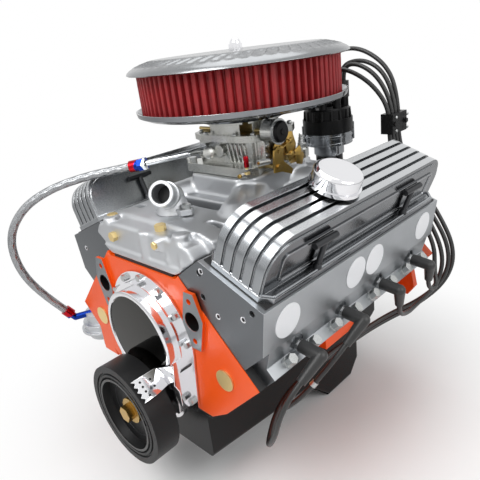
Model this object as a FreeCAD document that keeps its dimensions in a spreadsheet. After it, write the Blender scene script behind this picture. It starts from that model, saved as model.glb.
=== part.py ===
"""A complete carburetted 90-degree V8 engine, as a parametric FreeCAD document.

Frame: +Z up, +Y towards the clutch end, +X towards the bank with cylinder one. The origin is the
crankshaft's axis at the mouth of the pilot bore in its rear flange, so the engine's front is at -Y.
A bank's own frame has its x across the deck, away from the valley, and its z along the cylinders,
away from the crankshaft. All lengths are millimetres and all angles degrees.
"""
import FreeCAD, Part
import math
import os
import re
import Sketcher
from FreeCAD import Placement, Rotation, Vector

doc = FreeCAD.newDocument("v8_engine")
sizes = doc.addObject("Spreadsheet::Sheet", "sizes")
NAMES = []
SUBPARTS = []
HEADS = {}
COVERS = {}


# ---------------------------------------------------------------- driving dimensions
def set_sizes(rows):
    """Writes each (name, number, what it is) as a row of the sheet, with the name as its alias."""
    for name, number, note in rows:
        row = len(NAMES) + 1
        sizes.set("A%d" % row, note)
        sizes.set("B%d" % row, str(number))
        sizes.setAlias("B%d" % row, name)
        NAMES.append(name)


set_sizes([
    # rotating and reciprocating parts
    ("bore_dia", 101.6, "cylinder bore"),
    ("stroke", 88.4, "piston stroke"),
    ("bore_pitch", 111.76, "distance between two bores of a bank"),
    ("rod_length", 144.8, "connecting rod, centre to centre"),
    ("bank_angle", 45, "angle of each bank from the vertical"),
    ("bank_stagger", 22.4, "how far the first bank sits ahead of the other"),
    ("main_dia", 62.2, "main journal"),
    ("main_width", 26, "main journal's length"),
    ("crankpin_dia", 53.3, "crankpin"),
    ("crankpin_width", 48, "crankpin's length, for two rods"),
    ("counterweight_r", 75, "counterweight radius"),
    ("flange_dia", 127, "crankshaft's rear flange"),
    ("flange_bolt_circle", 90.9, "flywheel bolt circle"),
    ("flange_bolt_dia", 10.2, "flywheel bolt hole"),
    ("pilot_dia", 43.3, "pilot bore in the rear flange"),
    ("pilot_depth", 16, "pilot bore's depth"),
    ("rear_main", 50, "rear main's centre ahead of the flange face"),
    ("journal_gap", 0.05, "radial running clearance"),
    ("cam_height", 114.8, "camshaft above the crankshaft"),
    ("cam_journal_dia", 47.5, "camshaft journal"),
    ("cam_core_r", 14.5, "camshaft's core"),
    ("shell", 2.4, "wall of a plain bearing"),
    ("cam_base_r", 17, "lobe's base circle"),
    ("cam_lift", 7.6, "lobe's lift"),
    # block
    ("bell_face", 10, "block's rear face ahead of the flange face"),
    ("block_length", 510, "block, front face to rear face"),
    ("deck_height", 229.2, "crankshaft axis to deck"),
    ("deck_inner", 100, "deck's width on the valley side of the bores"),
    ("deck_outer", 92, "deck's width on the outer side of the bores"),
    ("rail_rise", 125, "where a bank's outer side starts, up the bank"),
    ("rail_half", 118, "half the width across the pan rails"),
    ("china_height", 226, "top of the valley's end walls"),
    ("front_plate", 20, "thickness of the block's front wall"),
    ("rear_wall", 20, "thickness of the block's rear wall"),
    ("bell_r", 196, "radius of the clutch housing flange"),
    ("bell_plate", 14, "thickness of the clutch housing flange"),
    ("bell_centre", 20, "middle of the clutch housing flange, above the crankshaft"),
    ("bell_bolt_r", 183, "clutch housing bolt holes from that middle"),
    ("bell_bolt_dia", 10.7, "clutch housing bolt hole"),
    ("mount_pad_x", 162, "engine mount pad, from the middle"),
    ("mount_pad_y", 284, "engine mount pad's front end ahead of the flange face"),
    ("mount_pad_width", 92, "engine mount pad along the engine"),
    ("fuel_pad_x", 186, "fuel pump pad, from the middle"),
    ("fuel_pad_width", 66, "fuel pump pad along the engine"),
    ("fuel_pump_back", 33, "fuel pump behind the block's front face"),
    ("fuel_pump_z", 32, "fuel pump above the crankshaft"),
    ("pump_pad_x", 115, "water pump pad, from the middle"),
    ("pump_pad_z", 170, "water pump pad, above the crankshaft"),
    ("pump_pad_rise", 6, "water pump pad's height off the block"),
    ("pump_port_dia", 30, "water passage in the pump pad"),
    ("pump_bolt_pitch", 64, "between a pad's two bolts"),
    ("pump_bolt_dia", 9, "water pump bolt hole"),
    ("core_plug_dia", 41.3, "core plug"),
    # heads
    ("head_length", 468, "cylinder head"),
    ("head_gasket", 1, "compressed head gasket"),
    ("head_inner_height", 58, "head's height at its valley side"),
    ("intake_angle", 10, "intake face's lean from the bank's axis"),
    ("exhaust_foot_x", 60, "exhaust face's lower edge across the deck"),
    ("exhaust_foot_z", 50, "exhaust face's lower edge above the deck"),
    ("head_bolt_pitch", 53.3, "between two outer head bolts"),
    ("cover_rail_width", 110, "valve cover rail's width along the deck"),
    ("cover_rail_tilt", 22.7, "valve cover rail's tilt against the deck"),
    ("bolt_ledge", 22, "height of the ledge of the outer head bolts"),
    ("ledge_setback", 14, "how far the bolt ledge stops short of the head's ends"),
    ("port_cover_dia", 50, "round cover over an exhaust port"),
    ("plug_tilt", 38, "spark plug's tilt above the deck plane"),
    ("plug_seat_x", 67, "spark plug's seat across the deck"),
    ("plug_seat_z", 28, "spark plug's seat above the deck"),
    ("plug_relief_r", 15, "round relief at a plug's seat"),
    # valve covers
    ("cover_length", 452, "valve cover"),
    ("cover_width", 112, "valve cover's flange"),
    ("cover_height", 74, "valve cover without its fins"),
    ("cover_wall", 4, "valve cover's wall"),
    ("cover_ledge", 14, "valve cover's flange outside its wall"),
    ("fin_height", 9, "fin above the cover"),
    ("fin_width", 11.5, "fin"),
    ("fin_pitch", 17, "between two fins"),
    ("t_bolt_y", 117.5, "valve cover bolts from the cover's middle"),
    ("breather_y", 47, "breather ahead of its cover's middle"),
    ("breather_hole_r", 20, "hole for the breather's grommet"),
    ("gasket_thick", 2, "cork and paper gaskets"),
    ("intake_gap", 1.4, "intake gasket with its clearance"),
    ("end_seal", 4, "seal between the block's end walls and the intake"),
    ("carb_gasket", 0.8, "carburettor gasket"),
    # timing cover and damper
    ("cover_flange_r", 102, "timing cover's flange round the camshaft"),
    ("cover_flange", 3, "timing cover's flange"),
    ("cover_depth", 29, "timing cover's depth"),
    ("cover_dome_r", 79, "timing cover's raised part"),
    ("sheet_wall", 2, "pressed steel wall"),
    ("seal_r", 36, "timing cover's seal housing"),
    ("damper_dia", 171.5, "vibration damper"),
    ("damper_width", 42, "vibration damper's ring"),
    ("damper_face", 562, "damper ring's rear face ahead of the flange face"),
    ("damper_hub_r", 26, "damper's hub"),
    ("pulley_circle", 62, "bolt circle of the damper's three pulley bolts"),
    ("nose_dia", 31.6, "crankshaft's nose"),
    # oil pan
    ("pan_shallow", 92, "pan's depth at the front"),
    ("pan_middle", 120, "pan's depth where the sump starts"),
    ("pan_rear", 84, "pan's depth behind the sump"),
    ("sump_rear", 92, "sump's rear wall ahead of the flange face"),
    ("cap_half", 61, "half a main cap's width"),
    ("cap_deep", 52, "main cap's depth"),
    ("pan_depth", 178, "pan's depth at the sump"),
    ("sump_length", 176, "sump, along the engine"),
    ("pan_half", 104, "half the pan's inside width"),
    # intake
    ("carb_pad", 322, "carburettor pad above the crankshaft"),
    ("plenum_width", 150, "plenum across the engine"),
    ("plenum_length", 176, "plenum along the engine"),
    ("runner_width", 41, "half the width of a pair of intake runners"),
    ("carb_y", -262, "carburettor's middle along the engine"),
    ("crossover_top", 283, "top of the front water passage"),
    ("neck_x", 0, "thermostat's middle across the engine"),
    ("neck_y", -440, "thermostat's middle along the engine"),
    ("neck_base", 290, "thermostat housing's base above the crankshaft"),
    ("neck_dia", 38, "thermostat neck for the hose"),
    # carburettor and air cleaner
    ("carb_height", 84, "carburettor, pad to air horn flange"),
    ("throttle_body", 15, "carburettor's throttle body"),
    ("main_body", 36.4, "carburettor's main body"),
    ("barrel_x", 24.5, "barrels from the middle, across"),
    ("barrel_y", 26, "barrels from the middle, along"),
    ("primary_r", 21, "primary barrel's radius"),
    ("secondary_r", 22, "secondary barrel's radius"),
    ("shaft_r", 4, "throttle shaft's radius"),
    ("stud_r", 3.2, "air cleaner stud's radius"),
    ("horn_dia", 130, "air horn"),
    ("filter_dia", 336, "air filter element"),
    ("filter_height", 72, "air filter element"),
    ("lid_dia", 366, "air cleaner lid"),
    ("base_dia", 356, "air cleaner base"),
    # distributor
    ("dist_y", -51, "distributor's axis along the engine"),
    ("dist_x", 24, "distributor's axis across the engine"),
    ("dist_seat", 248, "distributor's seat above the crankshaft"),
    ("dist_shaft_r", 6.4, "distributor shaft's radius"),
    ("dist_body_r", 46, "distributor's bowl"),
    ("dist_cap_r", 49, "distributor's cap"),
    ("dist_cap_base", 338, "distributor cap's lower edge above the crankshaft"),
    ("dist_cap_height", 74, "distributor cap"),
    ("tower_circle", 35, "circle of the cap's towers"),
    ("tower_r", 7.5, "cap tower's radius"),
    # leads and hose
    ("lead_dia", 8, "ignition lead"),
    ("boot_reach", 44, "plug boot's bend from the plug's seat"),
    ("loom_x", 152.15, "lead loom, from the middle"),
    ("loom_z", 335, "lead loom's lower face above the crankshaft"),
    ("hose_dia", 14.5, "braided fuel hose"),
])
doc.recompute()


def linked(text):
    """The expression with every size's name written as its cell of the sheet."""
    return re.sub(r"[a-z_][a-z_0-9]*", lambda m: "sizes." + m[0] if m[0] in NAMES else m[0], text)


def size(text):
    """The number that an expression of sizes comes to now."""
    return float(sizes.evalExpression(linked(str(text))))


def bind(obj, props):
    """Binds properties, such as Length or Placement.Base.z, to expressions of sizes."""
    for prop, text in props.items():
        obj.setExpression(prop, linked(str(text)))


# ---------------------------------------------------------------- sketches and features
def new_body(label):
    """An empty PartDesign body with this label."""
    made = doc.addObject("PartDesign::Body", label)
    made.Label = label
    return made


def plane(body, role):
    """One of the body's own origin planes: XY_Plane, XZ_Plane or YZ_Plane."""
    return next(f for f in body.Origin.OriginFeatures if f.Role == role)


def new_sketch(body, role, offset="0", turn=None):
    """A sketch on an origin plane, moved along its normal. turn is (axis, expression of degrees), which
    leans the plane about that local axis before it is moved along its new normal."""
    sk = body.newObject("Sketcher::SketchObject", body.Label + "_sketch")
    sk.AttachmentSupport = [(plane(body, role), "")]
    sk.MapMode = "FlatFace"
    if turn is None:
        bind(sk, {"AttachmentOffset.Base.z": offset})
        return sk
    axis, angle = turn
    sk.AttachmentOffset = Placement(Vector(0, 0, 0), Rotation(axis, size(angle)))
    bind(sk, {
        "AttachmentOffset.Rotation.Angle": angle,
        "AttachmentOffset.Base.x": "(%s) * sin(%s) * %d" % (offset, angle, round(axis.y)),
        "AttachmentOffset.Base.y": "-(%s) * sin(%s) * %d" % (offset, angle, round(axis.x)),
        "AttachmentOffset.Base.z": "(%s) * cos(%s)" % (offset, angle),
    })
    return sk


def pin_point(sk, geo, end, x, y):
    """Holds one point of a sketch at expressions x and y from the sketch's origin."""
    for kind, text in (("DistanceX", x), ("DistanceY", y)):
        k = sk.addConstraint(Sketcher.Constraint(kind, -1, 1, geo, end, size(text)))
        sk.setExpression("Constraints[%d]" % k, linked(str(text)))


def draw_polygon(sk, points):
    """Closed straight-sided outline through points, each a pair of expressions."""
    corners = [Vector(size(x), size(y), 0) for x, y in points]
    first = sk.GeometryCount
    count = len(corners)
    for i in range(count):
        sk.addGeometry(Part.LineSegment(corners[i], corners[(i + 1) % count]), False)
    for i in range(count):
        sk.addConstraint(Sketcher.Constraint("Coincident", first + i, 2, first + (i + 1) % count, 1))
    for i, (x, y) in enumerate(points):
        pin_point(sk, first + i, 1, x, y)
    return sk


def draw_circle(sk, x, y, radius):
    """Circle at (x, y), all three as expressions."""
    centre = Vector(size(x), size(y), 0)
    geo = sk.addGeometry(Part.Circle(centre, Vector(0, 0, 1), size(radius)), False)
    pin_point(sk, geo, 3, x, y)
    k = sk.addConstraint(Sketcher.Constraint("Radius", geo, size(radius)))
    sk.setExpression("Constraints[%d]" % k, linked(str(radius)))
    return sk


def feature(body, kind, name, sk, props, reverse=False):
    """Adds a Pad, Pocket, Revolution or Groove of a sketch, with its properties bound."""
    made = body.newObject("PartDesign::" + kind, name)
    made.Profile = sk
    if kind in ("Pad", "Pocket"):
        made.Reversed = reverse
    bind(made, props)
    sk.Visibility = False
    return made


def pad(body, name, sk, length, reverse=False):
    """Pads a sketch along its plane's normal."""
    return feature(body, "Pad", name, sk, {"Length": length}, reverse)


def pocket(body, name, sk, length, reverse=False):
    """Pockets a sketch against its plane's normal, or along it if reverse."""
    return feature(body, "Pocket", name, sk, {"Length": length}, reverse)


def turned(body, name, sk, axis="V_Axis", cut=False):
    """Revolves a sketch a full turn about one of its own axes, as a Revolution or a Groove."""
    made = body.newObject("PartDesign::Groove" if cut else "PartDesign::Revolution", name)
    made.Profile = sk
    made.ReferenceAxis = (sk, [axis])
    made.Angle = 360
    sk.Visibility = False
    return made


def round_edges(body, name, radius, chosen):
    """Fillets the edges of the body's present shape for which chosen(edge) is true."""
    doc.recompute()
    base = body.Tip
    names = ["Edge%d" % (i + 1) for i, e in enumerate(base.Shape.Edges) if chosen(e)]
    made = body.newObject("PartDesign::Fillet", name)
    made.Base = (base, names)
    bind(made, {"Radius": radius})
    doc.recompute()
    return made


def half_outline(points):
    """A symmetrical outline's points: those given, on +X and upwards, and their mirror images."""
    return points + [("-(%s)" % x, z) for x, z in reversed(points)]


def place(obj, x="0", y="0", z="0", axis=None, angle="0"):
    """Binds an object's place, and its turn about one axis, to expressions."""
    if axis is not None:
        obj.Placement = Placement(Vector(0, 0, 0), Rotation(axis, size(angle)))
        bind(obj, {"Placement.Rotation.Angle": angle})
    bind(obj, {"Placement.Base.x": x, "Placement.Base.y": y, "Placement.Base.z": z})
    return obj


def keep(obj):
    """Marks a finished sub-part, which is written to a file named after its label."""
    SUBPARTS.append(obj)
    return obj


def solid_group(label, shapes):
    """A sub-part of one or more separate solids, made with Part's own functions."""
    made = doc.addObject("Part::Feature", label)
    made.Label = label
    made.Shape = shapes[0] if len(shapes) == 1 else Part.makeCompound(shapes)
    return keep(made)


# ---------------------------------------------------------------- places that pieces share
AXIS_X, AXIS_Y, AXIS_Z = Vector(1, 0, 0), Vector(0, 1, 0), Vector(0, 0, 1)
BLOCK_FRONT = "-(bell_face + block_length)"
FRONT_DISTANCE = "(bell_face + block_length)"
GAP = size("journal_gap")
HEAD_TOP = "(cover_rail_width * tan(cover_rail_tilt) + head_inner_height)"
RAIL_START_X = "(head_inner_height * tan(intake_angle) - deck_inner)"
RAIL_END_X = "(%s + cover_rail_width)" % RAIL_START_X
RAIL_MIDDLE_X = "(%s + cover_rail_width / 2)" % RAIL_START_X
RAIL_MIDDLE_Z = "(head_inner_height + cover_rail_width * tan(cover_rail_tilt) / 2)"
FIN_TOP = "(cover_height + fin_height)"
PLUG_SEAT = "(plug_seat_x * cos(plug_tilt) + plug_seat_z * sin(plug_tilt))"
INTAKE_LOW = "(china_height + end_seal)"
THROTTLE_Z = "(carb_pad + 8.3)"
CHOKE_Y, CHOKE_Z = "(carb_y - 28)", "(carb_pad + 66)"
BARRELS = (("-barrel_x", "-barrel_y", "primary_r"), ("barrel_x", "-barrel_y", "primary_r"),
           ("-barrel_x", "barrel_y", "secondary_r"), ("barrel_x", "barrel_y", "secondary_r"))
PLUG_SPOTS = (-3, -1, 1, 3)
PORT_SPOTS = (-3.5, -0.5, 0.5, 3.5)
BELL_BOLT_ANGLES = (20, 62, 118, 160)
CRANKPIN_ANGLES = (45, 135, -45, -135)
FIRING_ORDER = (1, 8, 4, 3, 6, 5, 7, 2)
FUEL_Y = "(fuel_pump_back - bell_face - block_length)"
DRIVE_GEAR_R = "(dist_x - cam_core_r - 0.1)"
CHAIN_PITCH = 9.525
CHAIN_HALF_HEIGHT = 4.2
CHAIN_CLEARANCE = 3.0
TOOTH_WIDTH = 4.4
ROW_PITCH = 10.2
PLATE_THICKNESS = 1.2
PLATE_GAP = 0.7


def main_y(k):
    """Expression of main bearing k's place along the engine, counted from the front, 1 to 5."""
    return "-(rear_main + %d * bore_pitch)" % (5 - k)


def crankpin_y(j):
    """Expression of crankpin j's place along the engine, counted from the front, 1 to 4."""
    return "-(rear_main + %.1f * bore_pitch)" % (4.5 - j)


def cylinder_y(j, side):
    """Expression of a cylinder's place along the engine; side is 1 for the first bank, -1 for the other."""
    return "%s - %d * bank_stagger / 2" % (crankpin_y(j), side)


def bank_vector(side, x, z):
    """A bank frame's (x, z), z from the crankshaft, as a vector of the engine's frame."""
    a = math.radians(size("bank_angle"))
    return Vector(side * (x * math.cos(a) + z * math.sin(a)), 0, z * math.cos(a) - x * math.sin(a))


def bank_place(obj, side, y, lift="0"):
    """Places an object made in a bank's frame, with its z = 0 on the deck, on its bank. The other bank
    carries it turned end for end, as the real castings are."""
    distance = "(deck_height + %s)" % lift
    if side > 0:
        place(obj, "%s * sin(bank_angle)" % distance, y, "%s * cos(bank_angle)" % distance,
              AXIS_Y, "bank_angle")
        return obj
    lean = Rotation(AXIS_Y, -size("bank_angle")).multiply(Rotation(AXIS_Z, 180))
    obj.Placement = Placement(Vector(0, 0, 0), lean)
    bind(obj, {"Placement.Base.x": "-%s * sin(bank_angle)" % distance, "Placement.Base.y": y,
               "Placement.Base.z": "%s * cos(bank_angle)" % distance})
    return obj


# ---------------------------------------------------------------- primitives, fuses and cuts
def cylinder(radius, height, x="0", y="0", z="0", towards=AXIS_Z):
    """A parametric cylinder that starts at (x, y, z) and runs towards a unit vector."""
    made = doc.addObject("Part::Cylinder", "round")
    made.Placement = Placement(Vector(0, 0, 0), Rotation(AXIS_Z, towards))
    bind(made, {"Radius": radius, "Height": height})
    bind(made, {"Placement.Base.x": x, "Placement.Base.y": y, "Placement.Base.z": z})
    return made


def fused(label, pieces):
    """One object that fuses several; its children are hidden in it."""
    made = doc.addObject("Part::MultiFuse", label)
    made.Label = label
    made.Shapes = pieces
    return made


def cut(label, base, tools):
    """One object that is a base with every tool taken out of it."""
    made = doc.addObject("Part::Cut", label)
    made.Label = label
    made.Base = base
    made.Tool = tools[0] if len(tools) == 1 else fused(label + "_tools", tools)
    return made


# ---------------------------------------------------------------- plain solids for groups
def rod_solid(radius, start, end):
    """A round bar between two points."""
    return Part.makeCylinder(radius, (end - start).Length, start, end - start)


def ring_solid(outer, inner, length, at, towards):
    """A tube that starts at a point and runs towards a vector."""
    return Part.makeCylinder(outer, length, at, towards).cut(Part.makeCylinder(inner, length, at, towards))


def hex_solid(across, height, at, towards):
    """A hexagon head, by its width across flats, that stands on a point."""
    corners = [Vector(across / math.sqrt(3), 0, 0)]
    for i in range(6):
        corners.append(Rotation(AXIS_Z, 60 * (i + 1)).multVec(corners[0]))
    solid = Part.Face(Part.makePolygon(corners)).extrude(Vector(0, 0, height))
    solid.Placement = Placement(at, Rotation(AXIS_Z, towards))
    return solid


def prism(points, depth):
    """A straight prism of an outline in the X-Z plane, from its own Y towards -Y by a depth."""
    return Part.Face(Part.makePolygon(points + [points[0]])).extrude(Vector(0, -depth, 0))


# ---------------------------------------------------------------- block
def build_block():
    """Cast V block: banks, valley, crankcase bays between five webs, bores, cam tunnel and flanges."""
    body = new_body("engine_block")
    outer = [
        ("rail_half", "0"),
        ("(deck_outer + rail_rise) * sin(bank_angle)", "(rail_rise - deck_outer) * cos(bank_angle)"),
        ("(deck_outer + deck_height) * sin(bank_angle)", "(deck_height - deck_outer) * cos(bank_angle)"),
        ("(deck_height - deck_inner) * sin(bank_angle)", "(deck_height + deck_inner) * cos(bank_angle)"),
        ("china_height - deck_inner / sin(bank_angle)", "china_height"),
    ]
    sk = draw_polygon(new_sketch(body, "XZ_Plane", "bell_face"), half_outline(outer))
    pad(body, "casting", sk, "block_length")

    bell = new_sketch(body, "XZ_Plane", "bell_face")
    bell_points = [("-bell_r * 0.93", "0")]
    for degrees in (180, 158, 136, 112, 90, 68, 44, 22, 0):
        bell_points.append(("bell_r * cos(%d)" % degrees, "bell_centre + bell_r * sin(%d)" % degrees))
    bell_points.append(("bell_r * 0.93", "0"))
    pad(body, "bell_flange", draw_polygon(bell, bell_points), "bell_plate")

    for side in (-1, 1):
        pump = new_sketch(body, "XZ_Plane", FRONT_DISTANCE)
        diamond = ((-22, -6), (-9, -46), (10, -46), (24, 6), (11, 46), (-8, 46))
        draw_polygon(pump, [("%d * (pump_pad_x + %d)" % (side, x), "pump_pad_z + %d" % z)
                            for x, z in diamond])
        pad(body, "pump_pad", pump, "pump_pad_rise")

    for side in (-1, 1):
        mount = new_sketch(body, "XZ_Plane", "mount_pad_y")
        draw_polygon(mount, [
            ("%d * (rail_half - 10)" % side, "4"),
            ("%d * mount_pad_x" % side, "4"),
            ("%d * mount_pad_x" % side, "68"),
            ("%d * (mount_pad_x - 24)" % side, "68"),
        ])
        pad(body, "mount_boss", mount, "mount_pad_width", reverse=True)

    wedge = new_sketch(body, "XZ_Plane", FRONT_DISTANCE + " - fuel_pump_back - fuel_pad_width / 2")
    draw_polygon(wedge, [("-rail_half - 24", "8"), ("-fuel_pad_x", "8"), ("-fuel_pad_x", "fuel_pad_x - 130"),
                         ("-rail_half - 34", "24")])
    pad(body, "fuel_pump_pad", wedge, "fuel_pad_width")

    for start, length in bay_spans():
        bay = new_sketch(body, "XZ_Plane", start)
        draw_polygon(bay, half_outline([("rail_half - 14", "-1"), ("rail_half - 14", "14"), ("40", "78")]))
        pocket(body, "crankcase_bay", bay, length, reverse=True)

    main = draw_circle(new_sketch(body, "XZ_Plane", "0"), "0", "0", "main_dia / 2 + shell")
    pocket(body, "main_line", main, "block_length + bell_face + 20", reverse=True)
    cam = draw_circle(new_sketch(body, "XZ_Plane", "0"), "0", "cam_height", "cam_journal_dia / 2 + shell")
    pocket(body, "cam_tunnel", cam, "block_length + bell_face + 20", reverse=True)
    seal = draw_circle(new_sketch(body, "XZ_Plane", "0"), "0", "0", "flange_dia / 2 + 1")
    pocket(body, "rear_seal_recess", seal, "bell_face + 4", reverse=True)

    valley = new_sketch(body, "XZ_Plane", "bell_face + rear_wall")
    draw_polygon(valley, half_outline([("40", "148"), ("46", "168"), ("80", "china_height"),
                                       ("80", "china_height + 12")]))
    pocket(body, "valley", valley, "block_length - rear_wall - front_plate", reverse=True)

    for side in (-1, 1):
        deck = new_sketch(body, "XY_Plane", "deck_height", turn=(AXIS_Y, "%d * bank_angle" % side))
        for j in range(1, 5):
            draw_circle(deck, "0", cylinder_y(j, side), "bore_dia / 2")
        pocket(body, "bores", deck, "deck_height - 76")

    front = new_sketch(body, "XZ_Plane", FRONT_DISTANCE + " + pump_pad_rise")
    for side in (-1, 1):
        draw_circle(front, "%d * pump_pad_x" % side, "pump_pad_z", "pump_port_dia / 2")
        for step in (-1, 1):
            draw_circle(front, "%d * pump_pad_x" % side, "pump_pad_z + %d * pump_bolt_pitch / 2" % step,
                        "pump_bolt_dia / 2")
    pocket(body, "pump_holes", front, "22")

    bolts = new_sketch(body, "XZ_Plane", "0")
    for degrees in BELL_BOLT_ANGLES:
        draw_circle(bolts, "bell_bolt_r * cos(%d)" % degrees, "bell_centre + bell_bolt_r * sin(%d)" % degrees,
                    "bell_bolt_dia / 2")
    pocket(body, "bell_bolt_holes", bolts, "bell_face + bell_plate + 1", reverse=True)

    drive = draw_circle(new_sketch(body, "XY_Plane", "160"), "dist_x", "dist_y", "17")
    pocket(body, "distributor_hole", drive, "60")
    return keep(body)


def bay_spans():
    """Where each crankcase bay starts and how long it is, as expressions of distances towards -Y."""
    spans = []
    for k in range(1, 5):
        spans.append(("rear_main + %d * bore_pitch + main_width / 2" % (k - 1),
                      "bore_pitch - main_width"))
    return spans


# ---------------------------------------------------------------- heads and valve covers


def head_y(side):
    """Expression of a head's middle along the engine."""
    return "-(rear_main + 2 * bore_pitch) - %d * bank_stagger / 2" % side


def build_head(label, side):
    """Cast head: wedge section, ledge for its outer bolts, combustion chambers and plug seats."""
    body = new_body(label)
    section = draw_polygon(new_sketch(body, "XZ_Plane", "-head_length / 2"), [
        ("-deck_inner", "0"),
        ("head_inner_height * tan(intake_angle) - deck_inner", "head_inner_height"),
        (RAIL_END_X, HEAD_TOP),
        ("exhaust_foot_x", "exhaust_foot_z"),
        ("exhaust_foot_x - 2", "0"),
    ])
    pad(body, "casting", section, "head_length")
    ledge = draw_polygon(new_sketch(body, "XZ_Plane", "ledge_setback - head_length / 2"), [
        ("exhaust_foot_x - 8", "0"), ("exhaust_foot_x - 8", "exhaust_foot_z - 2"),
        ("exhaust_foot_x", "exhaust_foot_z - 2"), ("deck_outer - 18", "bolt_ledge"),
        ("deck_outer", "bolt_ledge"), ("deck_outer", "0"),
    ])
    pad(body, "bolt_ledge", ledge, "head_length - 2 * ledge_setback")
    chambers = new_sketch(body, "XY_Plane", "0")
    for j in range(4):
        draw_circle(chambers, "0", "(%.1f) * bore_pitch" % (j - 1.5), "bore_dia / 2 - 12")
    pocket(body, "chambers", chambers, "11", reverse=True)
    seats = new_sketch(body, "XY_Plane", PLUG_SEAT + " + 60", turn=(AXIS_Y, "90 - plug_tilt"))
    across = "plug_seat_x * sin(plug_tilt) - plug_seat_z * cos(plug_tilt)"
    for spot in PLUG_SPOTS:
        draw_circle(seats, across, "%d * head_bolt_pitch" % spot, "plug_relief_r")
    pocket(body, "plug_reliefs", seats, "60")
    ends = new_sketch(body, "XZ_Plane", "head_length / 2")
    for x, z in (("-78", "44"), ("-52", "20"), ("10", "86")):
        draw_circle(ends, x, z, "4.6")
    pocket(body, "front_holes", ends, "18")
    return keep(bank_place(body, side, head_y(side), "head_gasket"))


def rail_place(obj, side, lift="0"):
    """Places an object made flat on a valve cover rail, x outwards and z out of the rail."""
    lean = size("bank_angle") - size("cover_rail_tilt")
    turn = Rotation(AXIS_Y, side * lean)
    if side < 0:
        turn = turn.multiply(Rotation(AXIS_Z, 180))
    obj.Placement = Placement(Vector(0, 0, 0), turn)
    along_x = "(%s - (%s) * sin(cover_rail_tilt))" % (RAIL_MIDDLE_X, lift)
    along_z = "(deck_height + head_gasket + %s + (%s) * cos(cover_rail_tilt))" % (RAIL_MIDDLE_Z, lift)
    bind(obj, {
        "Placement.Base.x": "%d * (%s + %s) * cos(bank_angle)" % (side, along_x, along_z),
        "Placement.Base.y": head_y(side),
        "Placement.Base.z": "(%s - %s) * cos(bank_angle)" % (along_z, along_x),
    })
    return obj


def on_rail(side, x, y, z):
    """A point given on a valve cover rail, y along the bank's own frame, as a point of the engine."""
    probe = Vector(x, y, z)
    holder = HEADS[side]
    tilt = Rotation(AXIS_Y, -size("cover_rail_tilt"))
    middle = Vector(size(RAIL_MIDDLE_X), 0, size(RAIL_MIDDLE_Z))
    return holder.Placement.multVec(middle + tilt.multVec(probe))


def rounded_outline(sk, half_length, height, round_r, base="0"):
    """A side outline, along the bank and up, whose two top ends are rounded with arcs."""
    length, top, r, low = size(half_length), size(height), size(round_r), size(base)
    corners = [Vector(-length, low, 0), Vector(-length, top - r, 0), Vector(r - length, top, 0),
               Vector(length - r, top, 0), Vector(length, top - r, 0), Vector(length, low, 0)]
    ends = [(1, 2)] * 6
    for i, corner in enumerate(corners):
        if i in (1, 3):
            centre = Vector((r - length) if i == 1 else (length - r), top - r, 0)
            first = math.pi / 2 if i == 1 else 0
            circle = Part.Circle(centre, Vector(0, 0, 1), r)
            sk.addGeometry(Part.ArcOfCircle(circle, first, first + math.pi / 2), False)
            ends[i] = (2, 1)
        else:
            sk.addGeometry(Part.LineSegment(corner, corners[(i + 1) % 6]), False)
    for i in range(6):
        nearby = (i + 1) % 6
        sk.addConstraint(Sketcher.Constraint("Coincident", i, ends[i][1], nearby, ends[nearby][0]))
    side, shoulder = "(%s)" % half_length, "(%s) - (%s)" % (height, round_r)
    inner = "((%s) - (%s))" % (half_length, round_r)
    pin_point(sk, 0, 1, "-" + side, base)
    pin_point(sk, 0, 2, "-" + side, shoulder)
    pin_point(sk, 2, 1, "-" + inner, height)
    pin_point(sk, 2, 2, inner, height)
    pin_point(sk, 4, 1, side, shoulder)
    pin_point(sk, 4, 2, side, base)
    for arc in (1, 3):
        k = sk.addConstraint(Sketcher.Constraint("Radius", arc, r))
        sk.setExpression("Constraints[%d]" % k, linked(round_r))
    return sk


def loaf(body, name, sizes_of, base="0", cutting=False):
    """A loaf-shaped block or hollow, from (half length, half width, height, end radius)."""
    half_length, half_width, height, round_r = sizes_of
    sk = new_sketch(body, "YZ_Plane", "-(%s)" % half_width)
    rounded_outline(sk, half_length, height, round_r, base)
    if cutting:
        return pocket(body, name, sk, "2 * (%s)" % half_width, reverse=True)
    return pad(body, name, sk, "2 * (%s)" % half_width)


def build_valve_cover(label, side, breather):
    """Cast cover: flange, hollow loaf-shaped shell, five fins that roll down over its ends, and on one
    cover the hole that the breather's grommet sits in."""
    body = new_body(label)
    flange = draw_polygon(new_sketch(body, "XY_Plane", "0"), [
        ("-cover_width / 2", "14 - cover_length / 2"), ("14 - cover_width / 2", "-cover_length / 2"),
        ("cover_width / 2 - 14", "-cover_length / 2"), ("cover_width / 2", "14 - cover_length / 2"),
        ("cover_width / 2", "cover_length / 2 - 14"), ("cover_width / 2 - 14", "cover_length / 2"),
        ("14 - cover_width / 2", "cover_length / 2"), ("-cover_width / 2", "cover_length / 2 - 14"),
    ])
    pad(body, "flange", flange, "8")
    loaf(body, "crown", ("cover_length / 2 - 4", "cover_width / 2 - cover_ledge", "cover_height", "38"))
    for k in range(-2, 3):
        fin = new_sketch(body, "YZ_Plane", "%d * fin_pitch - fin_width / 2" % k)
        pad(body, "fin", rounded_outline(fin, "cover_length / 2 - 1", FIN_TOP, "44", "7"), "fin_width")
    hollow = ("cover_length / 2 - 4 - cover_wall", "cover_width / 2 - cover_ledge - cover_wall",
              "cover_height - cover_wall", "38 - cover_wall")
    loaf(body, "inside", hollow, base="-1", cutting=True)
    if breather:
        hole = draw_circle(new_sketch(body, "XY_Plane", FIN_TOP),
                           "0", "%d * breather_y" % -side, "breather_hole_r")
        pocket(body, "breather_hole", hole, "24 + fin_height")
    return keep(rail_place(body, side, "gasket_thick"))


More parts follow.
